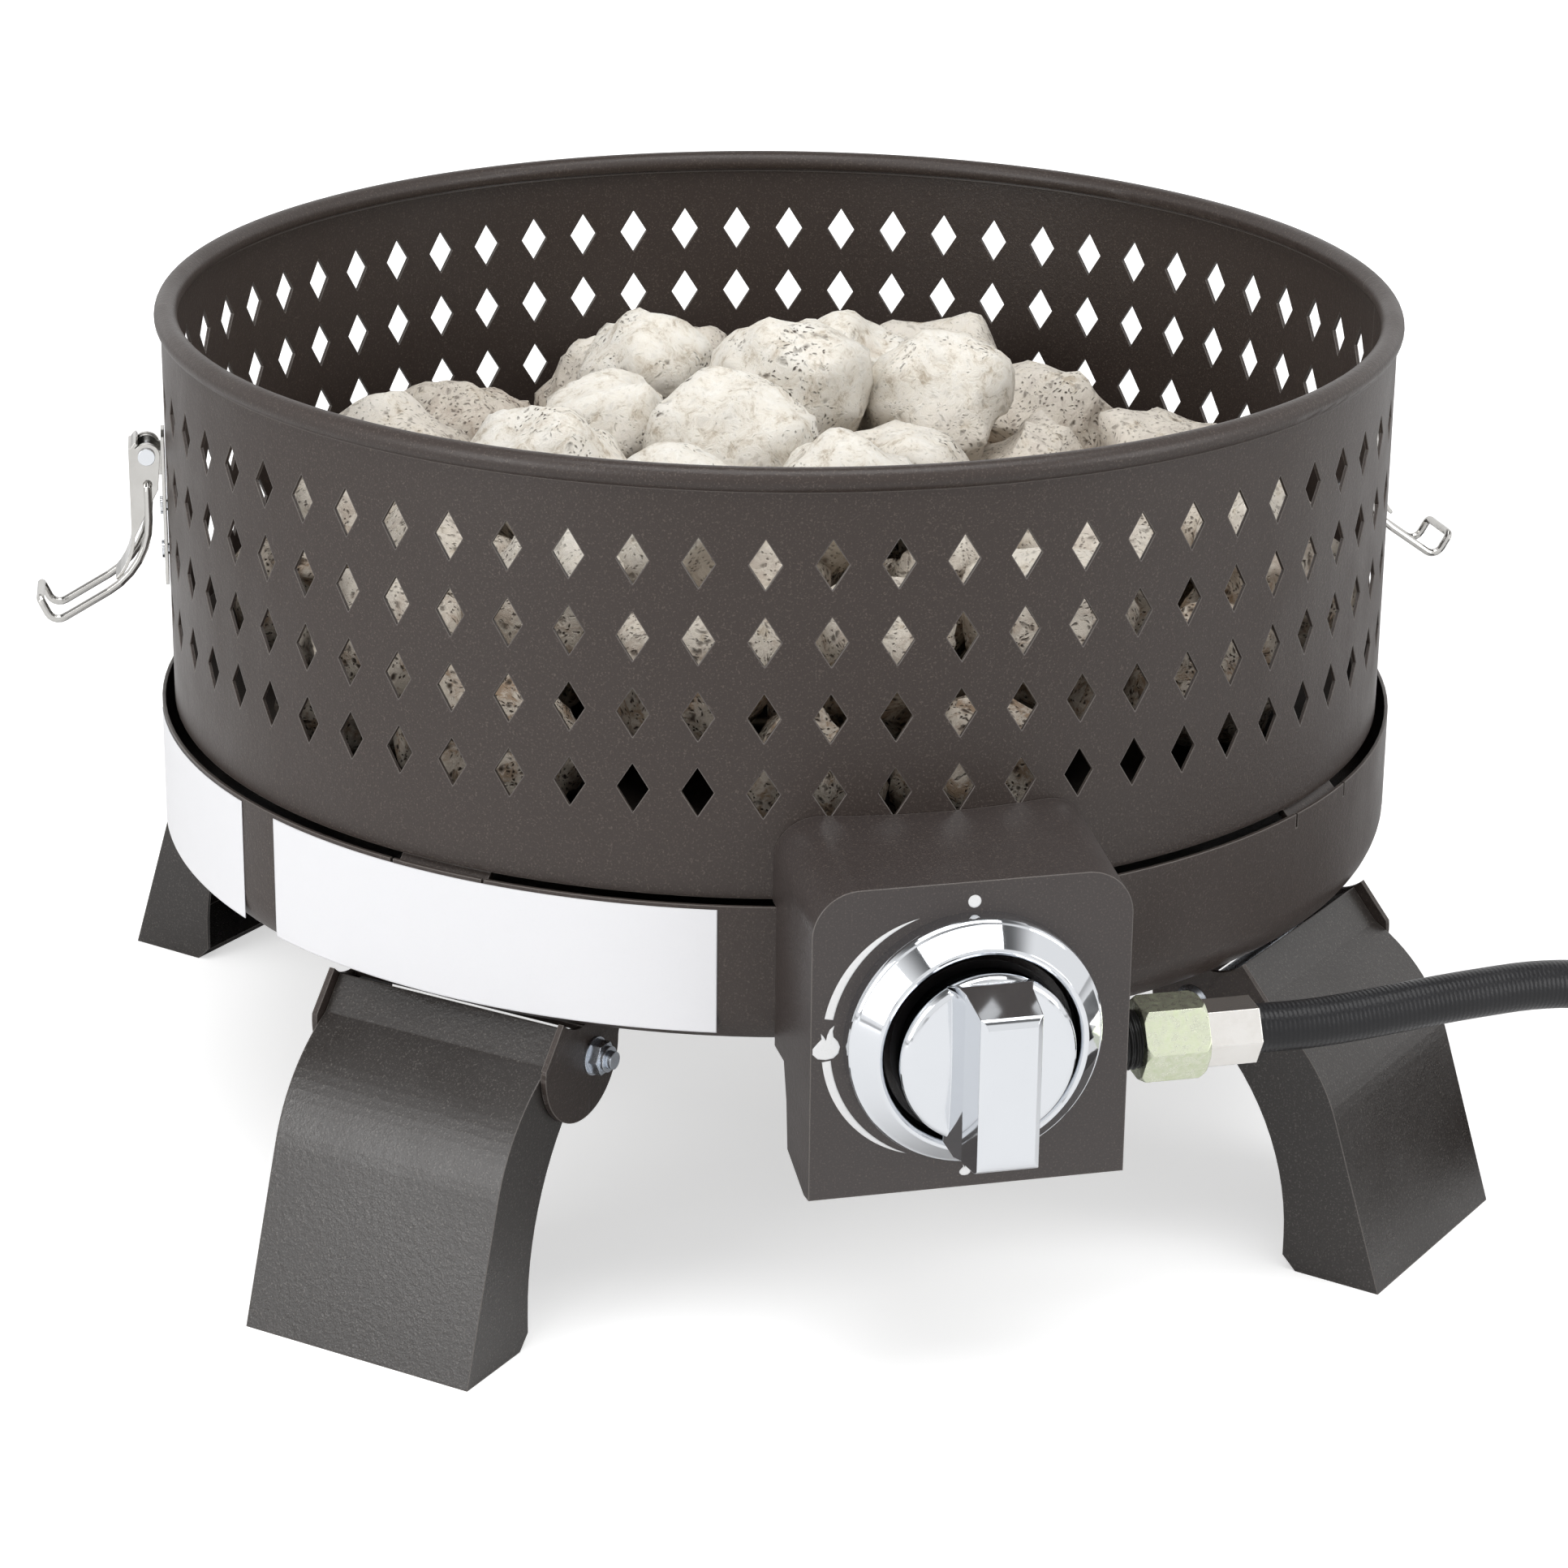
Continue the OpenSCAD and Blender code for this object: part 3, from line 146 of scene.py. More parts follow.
def modify(piece: bpy.types.Object, kind: str, **values: object) -> None:
    """Adds a modifier of a kind to a piece, with its properties."""
    modifier = piece.modifiers.new(kind.lower(), kind)
    for key, value in values.items():
        setattr(modifier, key, value)


def smooth(piece: bpy.types.Object, angle: float) -> None:
    """Shades a piece smooth, apart from edges that are sharper than the angle, in degrees."""
    pick(piece)
    bpy.ops.object.shade_smooth_by_angle(angle=math.radians(angle))


def open_mesh(name: str, mesh: bpy.types.Mesh, merge: float) -> bpy.types.Object:
    """Puts a mesh into the scene and leaves it in edit mode, all selected and with its doubles merged.

    Args:
        name: The piece's name.
        mesh: Its mesh.
        merge: Distance within which corners are merged.

    Returns:
        The new object.
    """
    piece = bpy.data.objects.new(name, mesh)
    bpy.context.scene.collection.objects.link(piece)
    pick(piece)
    bpy.ops.object.mode_set(mode="EDIT")
    bpy.ops.mesh.select_all(action="SELECT")
    bpy.ops.mesh.remove_doubles(threshold=merge)
    return piece


def mesh_piece(name: str, verts: list, faces: list, wrap: list | None = None) -> bpy.types.Object:
    """Makes an object from points and faces, with its normals set outwards.

    Args:
        name: The piece's name.
        verts: Points in the row frame.
        faces: Indices into verts.
        wrap: For a surface pattern, the UV pairs of each face's corners.

    Returns:
        The new object.
    """
    mesh = bpy.data.meshes.new(name)
    mesh.from_pydata([tuple(v) for v in verts], [], faces)
    if wrap:
        layer = mesh.uv_layers.new(name="wrap")
        for face, corners in zip(mesh.polygons, wrap):
            for loop, corner in zip(face.loop_indices, corners):
                layer.data[loop].uv = corner
    piece = open_mesh(name, mesh, MERGE)
    bpy.ops.mesh.normals_make_consistent(inside=False)
    bpy.ops.object.mode_set(mode="OBJECT")
    return piece


def node_copy(node: str, name: str, merge: float) -> bpy.types.Object:
    """Copies a node of the frame into a new object, left in edit mode with its doubles merged."""
    mesh = frame["nodes"][node].data.copy()
    mesh.name = name
    return open_mesh(name, mesh, merge)


def ring_faces(rings: int, sides: int) -> list[tuple[int, ...]]:
    """Faces of a tube whose points run ring after ring.

    Args:
        rings: Number of rings.
        sides: Points in each ring.

    Returns:
        The faces between the rings in order, and then both end caps.
    """
    n = sides
    faces = [(i * n + k, i * n + (k + 1) % n, (i + 1) * n + (k + 1) % n, (i + 1) * n + k)
             for i in range(rings - 1) for k in range(n)]
    return faces + [tuple(range(end, end + n)) for end in (0, (rings - 1) * n)]


def sheet_faces(columns: int, rows: int) -> list[tuple[int, ...]]:
    """Faces of a sheet whose points run column after column, in order."""
    w = rows + 1
    return [(i * w + j, (i + 1) * w + j, (i + 1) * w + j + 1, i * w + j + 1)
            for i in range(columns) for j in range(rows)]


# ------------------------ materials


def opaque(colour: Colour) -> tuple[float, float, float, float]:
    """The colour with a full alpha."""
    return (*colour, 1.0)


class NodeBuilder:
    """Adds and joins shader nodes in one tree."""

    def __init__(self, tree: bpy.types.NodeTree) -> None:
        """Keeps the tree that nodes are added to."""
        self.tree = tree

    def feed(self, value: object, socket: Socket) -> None:
        """Links an output to an input, or sets the input to a plain value."""
        if isinstance(value, bpy.types.NodeSocket):
            self.tree.links.new(value, socket)
        else:
            socket.default_value = value

    def add(self, kind: str, **values: object) -> bpy.types.Node:
        """Adds a node.

        Args:
            kind: The node's type name.
            **values: Properties, or input sockets by name with underscores for spaces.

        Returns:
            The new node.
        """
        node = self.tree.nodes.new(kind)
        for key, value in values.items():
            label = key.replace("_", " ")
            if label in node.inputs:
                self.feed(value, node.inputs[label])
            else:
                setattr(node, key, value)
        return node

    def fill(self, node: bpy.types.Node, values: dict[str, object]) -> None:
        """Links or sets several inputs of a node, by name."""
        for label, value in values.items():
            self.feed(value, node.inputs[label])

    def place(self) -> Socket:
        """The object coordinates."""
        return self.add("ShaderNodeTexCoord").outputs["Object"]

    def math(self, operation: str, *values: object, clamp: bool = False) -> Socket:
        """Adds a Math node.

        Args:
            operation: The node's operation.
            *values: Numbers or outputs, in the order of the node's inputs.
            clamp: Whether the result is held between 0 and 1.

        Returns:
            The result.
        """
        node = self.add("ShaderNodeMath", operation=operation, use_clamp=clamp)
        for value, socket in zip(values, node.inputs):
            self.feed(value, socket)
        return node.outputs[0]

    def remap(self, value: Socket, start: float, end: float, low: float = 0.0, high: float = 1.0,
              eased: bool = False) -> Socket:
        """Maps a range of values to another one, held at both ends.

        Args:
            value: What is mapped.
            start: The value that gives low.
            end: The value that gives high.
            low: Result at start.
            high: Result at end.
            eased: Whether the ends are smooth.

        Returns:
            The result.
        """
        ease = "SMOOTHSTEP" if eased else "LINEAR"
        node = self.add("ShaderNodeMapRange", clamp=True, interpolation_type=ease)
        self.fill(node, dict(zip(RANGE_SOCKETS, (value, start, end, low, high))))
        return node.outputs["Result"]

    def noise(self, where: Socket, scale: object, detail: float = 2.0, roughness: float = 0.5) -> Socket:
        """A noise field over coordinates, about 0.5 at its middle; its scale is in waves to the metre."""
        return self.add("ShaderNodeTexNoise", Vector=where, Scale=scale, Detail=detail,
                        Roughness=roughness).outputs["Fac"]

    def blend(self, share: object, first: object, second: object, kind: str = "RGBA",
              **values: object) -> Socket:
        """Mixes two colours, or two numbers.

        Args:
            share: How much of the second one shows.
            first: The first one.
            second: The second one.
            kind: What is mixed, RGBA or FLOAT.
            **values: Other properties of the node.

        Returns:
            The mixture.
        """
        node = self.add("ShaderNodeMix", data_type=kind, **values)
        *pair, result = MIX_SOCKETS[kind]
        for index, value in zip((0, *pair), (share, first, second)):
            self.feed(value, node.inputs[index])
        return node.outputs[result]

    def ramp(self, value: Socket, stops: list[tuple[float, Colour]]) -> Socket:
        """Colours a field.

        Args:
            value: The field.
            stops: Position and colour of each stop.

        Returns:
            The colour.
        """
        node = self.add("ShaderNodeValToRGB", Fac=value)
        band = node.color_ramp
        while len(band.elements) < len(stops):
            band.elements.new(0.5)
        for element, (place, colour) in zip(band.elements, stops):
            element.position = place
            element.color = opaque(colour)
        return node.outputs["Color"]


def new_group(name: str, inputs: dict[str, str], outputs: dict[str, str]) -> tuple:
    """Starts a shader node group.

    Args:
        name: The group's name.
        inputs: Socket type of each input, by name.
        outputs: Socket type of each output, by name.

    Returns:
        The group, its builder, the outputs of its input node and its output node.
    """
    group = bpy.data.node_groups.new(name, "ShaderNodeTree")
    for side, sockets in (("INPUT", inputs), ("OUTPUT", outputs)):
        for label, kind in sockets.items():
            group.interface.new_socket(name=label, in_out=side, socket_type=kind)
    build = NodeBuilder(group)
    return group, build, build.add("NodeGroupInput").outputs, build.add("NodeGroupOutput")


def coat_group() -> bpy.types.NodeTree:
    """Builds the fine grain of powder coat: metallic specks, orange peel and soft handling marks.

    Returns:
        The node group, with colour, roughness and height over the surface.
    """
    group, b, given, out = new_group("Coat grain", {**GRAIN_INPUTS, "Wear": VALUE}, GRAIN_OUTPUTS)
    where = b.place()
    fine = b.noise(where, scale=1500.0, roughness=0.6)
    peel = b.noise(where, scale=520.0, detail=1.0)
    broad = b.noise(where, scale=9.0, detail=5.0, roughness=0.62)
    specks = b.math("MULTIPLY", b.remap(fine, start=0.56, end=0.72), given["Amount"])
    dulled = b.math("MULTIPLY", b.remap(broad, start=0.45, end=0.75), given["Wear"])
    b.fill(out, {
        "Color": b.blend(specks, given["Base"], given["Second"]),
        "Roughness": b.math("ADD", given["Gloss"], dulled, clamp=True),
        "Height": b.math("ADD", peel, fine),
    })
    return group


def metal_group(stain_dulls: float = 0.35) -> bpy.types.NodeTree:
    """Builds faint wear on plated and bare metal: cloudy tint, small scratches and finger marks.

    Args:
        stain_dulls: Roughness that a full stain adds.

    Returns:
        The node group, with colour, roughness and height over the surface.
    """
    group, b, given, out = new_group("Metal wear", {**GRAIN_INPUTS, "Scale": VALUE}, GRAIN_OUTPUTS)
    where = b.place()
    cloud = b.noise(where, scale=given["Scale"], detail=6.0, roughness=0.65)
    drawn = b.add("ShaderNodeMapping", Vector=where, Scale=(1.0, 1.0, 30.0)).outputs["Vector"]
    stain = b.math("MULTIPLY", b.remap(cloud, start=0.42, end=0.72), given["Amount"])
    dulled = b.math("MULTIPLY", stain, stain_dulls)
    b.fill(out, {
        "Color": b.blend(stain, given["Base"], given["Second"]),
        "Roughness": b.math("ADD", given["Gloss"], dulled, clamp=True),
        "Height": b.noise(drawn, scale=300.0, detail=3.0),
    })
    return group


def edge_group() -> bpy.types.NodeTree:
    """Builds the softened look of a folded or cut edge: rounded normals, and a mask along the edge, where
    the finishes paint a highlight.

    Returns:
        The node group, with the eased normal and the edge mask.
    """
    group, b, given, out = new_group("Eased edge", {"Radius": VALUE}, {"Normal": VECTOR, "Mask": VALUE})
    eased = b.add("ShaderNodeBevel", samples=6, Radius=given["Radius"]).outputs["Normal"]
    turn = b.add("ShaderNodeVectorMath", operation="DOT_PRODUCT")
    b.feed(eased, turn.inputs[0])
    b.feed(b.add("ShaderNodeNewGeometry").outputs["Normal"], turn.inputs[1])
    b.fill(out, {"Normal": eased, "Mask": b.remap(turn.outputs["Value"], start=0.99, end=0.84)})
    return group


def new_material(name: str) -> tuple[bpy.types.Material, NodeBuilder, bpy.types.Node]:
    """Starts a material: itself, its builder and its shader."""
    material = bpy.data.materials.new(name)
    material.use_nodes = True
    return material, NodeBuilder(material.node_tree), material.node_tree.nodes["Principled BSDF"]


@dataclass(frozen=True)
class Finish:
    """A surface made of one grain group, eased edges with a painted highlight along them, and a plain
    shader.
    """

    look: Look
    base: Colour
    second: Colour
    amount: float
    gloss: float
    metallic: float = 0.0
    wear: float = 0.2
    scale: float = 60.0
    bump: float = 0.0
    coated: bool = True
    specular: float = 0.5
    edge: float = 0.0007
    # Painted highlight: a lighter colour laid along the edges, as far as the edge mask reaches.
    painted_edge_highlight: Colour | None = None
    relief: float = 0.0003

    def build(self, groups: dict[str, bpy.types.NodeTree]) -> bpy.types.Material:
        """Makes the material.

        Args:
            groups: The shared node groups by key.

        Returns:
            The new material.
        """
        material, b, shader = new_material(self.look.value)
        own = dict(Wear=self.wear) if self.coated else dict(Scale=self.scale)
        grain = b.add("ShaderNodeGroup", node_tree=groups["coat" if self.coated else "metal"],
                      Base=opaque(self.base), Second=opaque(self.second), Amount=self.amount,
                      Gloss=self.gloss, **own).outputs
        eased = b.add("ShaderNodeGroup", node_tree=groups["edge"], Radius=self.edge).outputs
        relief = b.add("ShaderNodeBump", Strength=self.bump, Distance=self.relief, Height=grain["Height"],
                       Normal=eased["Normal"])
        # The edge mask lightens the base colour towards the painted edge highlight colour.
        b.fill(shader, {
            "Base Color": b.blend(eased["Mask"], grain["Color"], opaque(self.painted_edge_highlight or self.base)),
            "Roughness": grain["Roughness"],
            "Normal": relief.outputs["Normal"],
            "Metallic": self.metallic,
            "Specular IOR Level": self.specular,
        })
        return material


@dataclass(frozen=True)
class StoneFinish:
    """Lava rock: a cream crust, brown in its hollows and low in the heap (partly dust, partly painted
    shade), and fields of dark pores.
    """

    look: Look = Look.STONE
    crust: tuple[Colour, ...] = ((0.50, 0.43, 0.34), (0.82, 0.78, 0.70), (0.91, 0.89, 0.83))
    crust_levels: tuple[float, ...] = (0.34, 0.47, 0.60)
    pore: Colour = (0.085, 0.065, 0.05)
    pore_core: float = 0.35
    coarse: tuple[float, float] = (190.0, 0.30)
    fine: tuple[float, float] = (520.0, 0.34)
    # Brown laid in hollows and low in the heap: partly the rock's own dust, partly painted shade of the
    # crevices and of the lower heap.
    dust_and_shade: Colour = (0.34, 0.25, 0.175)
    dust_and_shade_heights: tuple[float, float] = (0.254, 0.209)
    warp: float = 0.012
    bump: float = 0.8
    relief: float = 0.0015
    roughness: float = 0.9
    specular: float = 0.25

    def spots(self, b: NodeBuilder, where: Socket, scale: float, wide: float) -> Socket:
        """Adds a field of round pores, 1 at a pore's middle and 0 between pores.

        Args:
            b: The material's node builder.
            where: The coordinates.
            scale: Pores to the metre.
            wide: Reach of a pore, as a share of the pitch.

        Returns:
            The field.
        """
        cells = b.add("ShaderNodeTexVoronoi", Scale=scale, Vector=where)
        return b.remap(cells.outputs["Distance"], start=wide, end=self.pore_core * wide)

    def build(self) -> bpy.types.Material:
        """Makes the material, with pores, crust, and dust with painted shade, in object space."""
        material, b, shader = new_material(self.look.value)
        where = b.place()
        shift = b.add("ShaderNodeTexNoise", Scale=90.0, Detail=3.0, Vector=where).outputs["Color"]
        place = b.blend(self.warp, where, shift, blend_type="ADD")
        patches = b.noise(place, scale=34.0, detail=5.0, roughness=0.68)
        crust = b.noise(place, scale=120.0, detail=9.0, roughness=0.74)
        height = b.add("ShaderNodeSeparateXYZ", Vector=where).outputs["Z"]
        deep = b.remap(height, *self.dust_and_shade_heights, low=0.12)
        porous = b.math("MAXIMUM", b.remap(patches, start=0.51, end=0.64), deep)
        every = b.math("MAXIMUM", self.spots(b, place, *self.coarse), self.spots(b, place, *self.fine))
        pores = b.math("MULTIPLY", every, porous)
        stone = b.ramp(crust, list(zip(self.crust_levels, self.crust)))
        # Hollows (low pointiness) and the lower heap are mixed towards brown: partly real dust, partly
        # painted shade where the rocks shade each other.
        pointed = b.add("ShaderNodeNewGeometry").outputs["Pointiness"]
        hollow = b.remap(pointed, start=0.5, end=0.40, high=0.75)
        low_blotch_and_shade = b.math("MULTIPLY", deep, b.remap(crust, start=0.40, end=0.58, low=0.15))
        dusted_and_shaded = b.blend(b.math("MAXIMUM", hollow, low_blotch_and_shade), stone, opaque(self.dust_and_shade))
        relief = b.add("ShaderNodeBump", Strength=self.bump, Distance=self.relief,
                       Height=b.math("SUBTRACT", crust, pores))
        b.fill(shader, {
            "Base Color": b.blend(pores, dusted_and_shaded, opaque(self.pore)),
            "Normal": relief.outputs["Normal"],
            "Roughness": self.roughness,
            "Specular IOR Level": self.specular,
        })
        return material


@dataclass(frozen=True)
class HoseFinish:
    """Black hose rubber with the fine wound ribs that its wrapping leaves on the surface."""

    look: Look = Look.RUBBER
    base: Colour = (0.008, 0.008, 0.009)
    bloom: Colour = (0.022, 0.022, 0.024)
    rib_pitch: float = 0.0016
    rib_share: float = 0.25
    bump: float = 0.6
    relief: float = 0.0002
    gloss: tuple[float, float] = (0.24, 0.36)
    specular: float = 0.28

    def build(self) -> bpy.types.Material:
        """Makes the material, whose ribs follow the hose's own wrap coordinates."""
        material, b, shader = new_material(self.look.value)
        wrap = b.add("ShaderNodeUVMap", uv_map="wrap").outputs["UV"]
        across = b.add("ShaderNodeSeparateXYZ", Vector=wrap).outputs
        wound = b.math("ADD", b.math("MULTIPLY", across["Y"], 1.0 / self.rib_pitch), across["X"])
        rib = b.math("SINE", b.math("MULTIPLY", wound, 2 * math.pi))
        where = b.place()
        grain = b.noise(where, scale=1100.0, detail=3.0, roughness=0.6)
        cloud = b.noise(where, scale=35.0, detail=4.0)
        relief = b.add("ShaderNodeBump", Strength=self.bump, Distance=self.relief,
                       Height=b.math("MULTIPLY_ADD", rib, self.rib_share, grain))
        b.fill(shader, {
            "Base Color": b.blend(cloud, opaque(self.base), opaque(self.bloom)),
            "Roughness": b.remap(cloud, 0.0, 1.0, *self.gloss),
            "Normal": relief.outputs["Normal"],
            "Specular IOR Level": self.specular,
        })
        return material


# A lighter colour painted along coated edges as a highlight.
PAINTED_EDGE_HIGHLIGHT = dict(painted_edge_highlight=(0.19, 0.17, 0.155))
PLATE = dict(metallic=1.0, coated=False, edge=0.0004)
RECIPES: list[Finish] = [
    Finish(Look.BRONZE_COAT, (0.036, 0.026, 0.022), (0.22, 0.18, 0.15), 0.3, 0.36, bump=0.3, specular=0.42,
           **PAINTED_EDGE_HIGHLIGHT),
    Finish(Look.LEG_COAT, (0.024, 0.020, 0.018), (0.24, 0.22, 0.20), 0.32, 0.24, bump=0.18, specular=0.60,
           **PAINTED_EDGE_HIGHLIGHT),
    Finish(Look.HEAT_COAT, (0.024, 0.019, 0.016), (0.12, 0.10, 0.09), 0.3, 0.5, bump=0.3, specular=0.42,
           **PAINTED_EDGE_HIGHLIGHT),
    Finish(Look.BOX_COAT, (0.036, 0.028, 0.026), (0.22, 0.18, 0.15), 0.28, 0.33, bump=0.3, specular=0.62,
           **PAINTED_EDGE_HIGHLIGHT),
    Finish(Look.TINTED_STEEL, (0.30, 0.28, 0.26), (0.16, 0.10, 0.07), 0.6, 0.34, bump=0.1, **PLATE),
    Finish(Look.ZINC, (0.62, 0.66, 0.72), (0.46, 0.50, 0.57), 0.45, 0.24, scale=160.0, bump=0.05, **PLATE),
    Finish(Look.NICKEL, (0.84, 0.82, 0.79), (0.66, 0.62, 0.56), 0.3, 0.16, scale=90.0, bump=0.04, **PLATE),
    Finish(Look.WIRE, (0.58, 0.57, 0.55), (0.42, 0.40, 0.37), 0.3, 0.13, scale=90.0, bump=0.04, **PLATE),
    Finish(Look.YELLOW_ZINC, (0.72, 0.75, 0.60), (0.58, 0.65, 0.42), 0.7, 0.26, scale=420.0, bump=0.2,
           **PLATE),
    Finish(Look.BRASS, (0.72, 0.52, 0.24), (0.45, 0.30, 0.14), 0.4, 0.26, bump=0.1, **PLATE),
    Finish(Look.CHROME, (0.71, 0.73, 0.76), (0.62, 0.63, 0.66), 0.12, 0.045, scale=35.0, **PLATE),
    Finish(Look.BLACK_FITTING, (0.012, 0.012, 0.012), (0.05, 0.05, 0.05), 0.3, 0.34, bump=0.2),
    Finish(Look.CASTING, (0.20, 0.205, 0.21), (0.35, 0.35, 0.36), 0.4, 0.5, metallic=0.4, bump=0.5),
    Finish(Look.PLASTIC, (0.016, 0.016, 0.018), (0.04, 0.04, 0.042), 0.3, 0.48, bump=0.3),
    Finish(Look.PRINT, (0.84, 0.84, 0.84), (0.60, 0.60, 0.59), 0.25, 0.45, bump=0.05),
    Finish(Look.LABEL, (0.80, 0.80, 0.82), (0.72, 0.73, 0.74), 0.15, 0.3, bump=0.05),
]
SLOT_LOOK = {
    "powder_coat": Look.BRONZE_COAT,
    "inner_coat": Look.HEAT_COAT,
    "box_coat": Look.BOX_COAT,
    "burner_steel": Look.TINTED_STEEL,
    "zinc_plate": Look.ZINC,
    "yellow_plate": Look.YELLOW_ZINC,
    "valve_brass": Look.BRASS,
    "lava_rock": Look.STONE,
    "bright_chrome": Look.CHROME,
    "black_fitting": Look.BLACK_FITTING,
    "hose_rubber": Look.RUBBER,
    "regulator_grey": Look.CASTING,
    "black_plastic": Look.PLASTIC,
}
NODE_LOOK = {
    "hose_ferrule": Look.NICKEL,
    **{f"leg_{corner}": Look.LEG_COAT for corner in LEG_AZIMUTHS},
    **{f"latch_{part}_{side}": Look.WIRE
       for part in ("base", "lever", "bail") for side in ("right", "left")},
}


class Finishes:
    """Every finish of the object, built once."""

    def __init__(self) -> None:
        """Builds the shared groups and the materials."""
        groups = {"coat": coat_group(), "metal": metal_group(), "edge": edge_group()}
        self.by_look = {recipe.look: recipe.build(groups) for recipe in RECIPES}
        for special in (StoneFinish(), HoseFinish()):
            self.by_look[special.look] = special.build()

    def __getitem__(self, look: Look) -> bpy.types.Material:
        """The material of that look."""
        return self.by_look[look]

    def dress_frame(self) -> None:
        """Gives every node of the frame its own finish, or else the one that its record slot names."""
        slots = {row["node"]: row["material_slot"] for row in frame["record"]["subparts"]}
        for name, node in frame["nodes"].items():
            material = self[NODE_LOOK.get(name, SLOT_LOOK[slots[name]])]
            if not node.material_slots:
                node.data.materials.append(material)
            for place in node.material_slots:
                place.material = material


def dress(piece: bpy.types.Object, body: Body, material: bpy.types.Material) -> None:
    """Gives a new piece its finish and the body it rides on.

    Args:
        piece: The finished mesh object.
        body: The body that carries it.
        material: The piece's material.
    """
    piece.data.materials.clear()
    piece.data.materials.append(material)
    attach(piece, body.value)
    LOG.info("%s: %d faces, rides on %s", piece.name, len(piece.data.polygons), body.value)


# ------------------------ camera and studio


@dataclass
class Photographer:
    """The camera of the photograph, solved from the rims and the ground line."""

    place: Point = (-0.3670, RING_AXIS_Y - 1.4940, 0.7002)
    turn: float = -13.8
    yaw: float = 0.0023
    pitch: float = 0.3656
    roll: float = 0.0115
    focal_px: float = 5570.2
    image_px: float = 1932.0
    sensor: float = 36.0
    reach: float = 50.0

    def build(self) -> None:
        """Adds the camera and makes it the scene's own."""
        ahead = Vector((math.sin(self.yaw) * math.cos(self.pitch),
                        math.cos(self.yaw) * math.cos(self.pitch), -math.sin(self.pitch)))
        level = Vector((math.cos(self.yaw), -math.sin(self.yaw), 0.0))
        above = level.cross(ahead)
        right = math.cos(self.roll) * level + math.sin(self.roll) * above
        up = -math.sin(self.roll) * level + math.cos(self.roll) * above
        view = Matrix((right, up, -ahead)).transposed()
        turn = Matrix.Rotation(math.radians(self.turn), 3, "Z")
        data = bpy.data.cameras.new("camera")
        data.sensor_width = self.sensor
        data.sensor_fit = "HORIZONTAL"
        data.lens = self.focal_px / self.image_px * self.sensor
        data.clip_end = self.reach
        camera = bpy.data.objects.new("camera", data)
        camera.matrix_world = Matrix.Translation(self.place) @ (turn @ view).to_4x4()
        bpy.context.scene.collection.objects.link(camera)
        bpy.context.scene.camera = camera


@dataclass
class Softbox:
    """One soft lamp, aimed at the fire pit."""

    name: str
    place: Point
    width: float
    height: float
    power: float
    aim: Point = (0.0, 0.0, 0.15)

    def build(self) -> None:
        """Adds the lamp and turns it to its aim."""
        data = bpy.data.lights.new(self.name, "AREA")
        data.shape = "RECTANGLE"
        data.size = self.width
        data.size_y = self.height
        data.energy = self.power
        lamp = bpy.data.objects.new(self.name, data)
        lamp.location = self.place
        lamp.rotation_euler = (Vector(self.aim) - Vector(self.place)).to_track_quat("-Z", "Y").to_euler()
        bpy.context.scene.collection.objects.link(lamp)


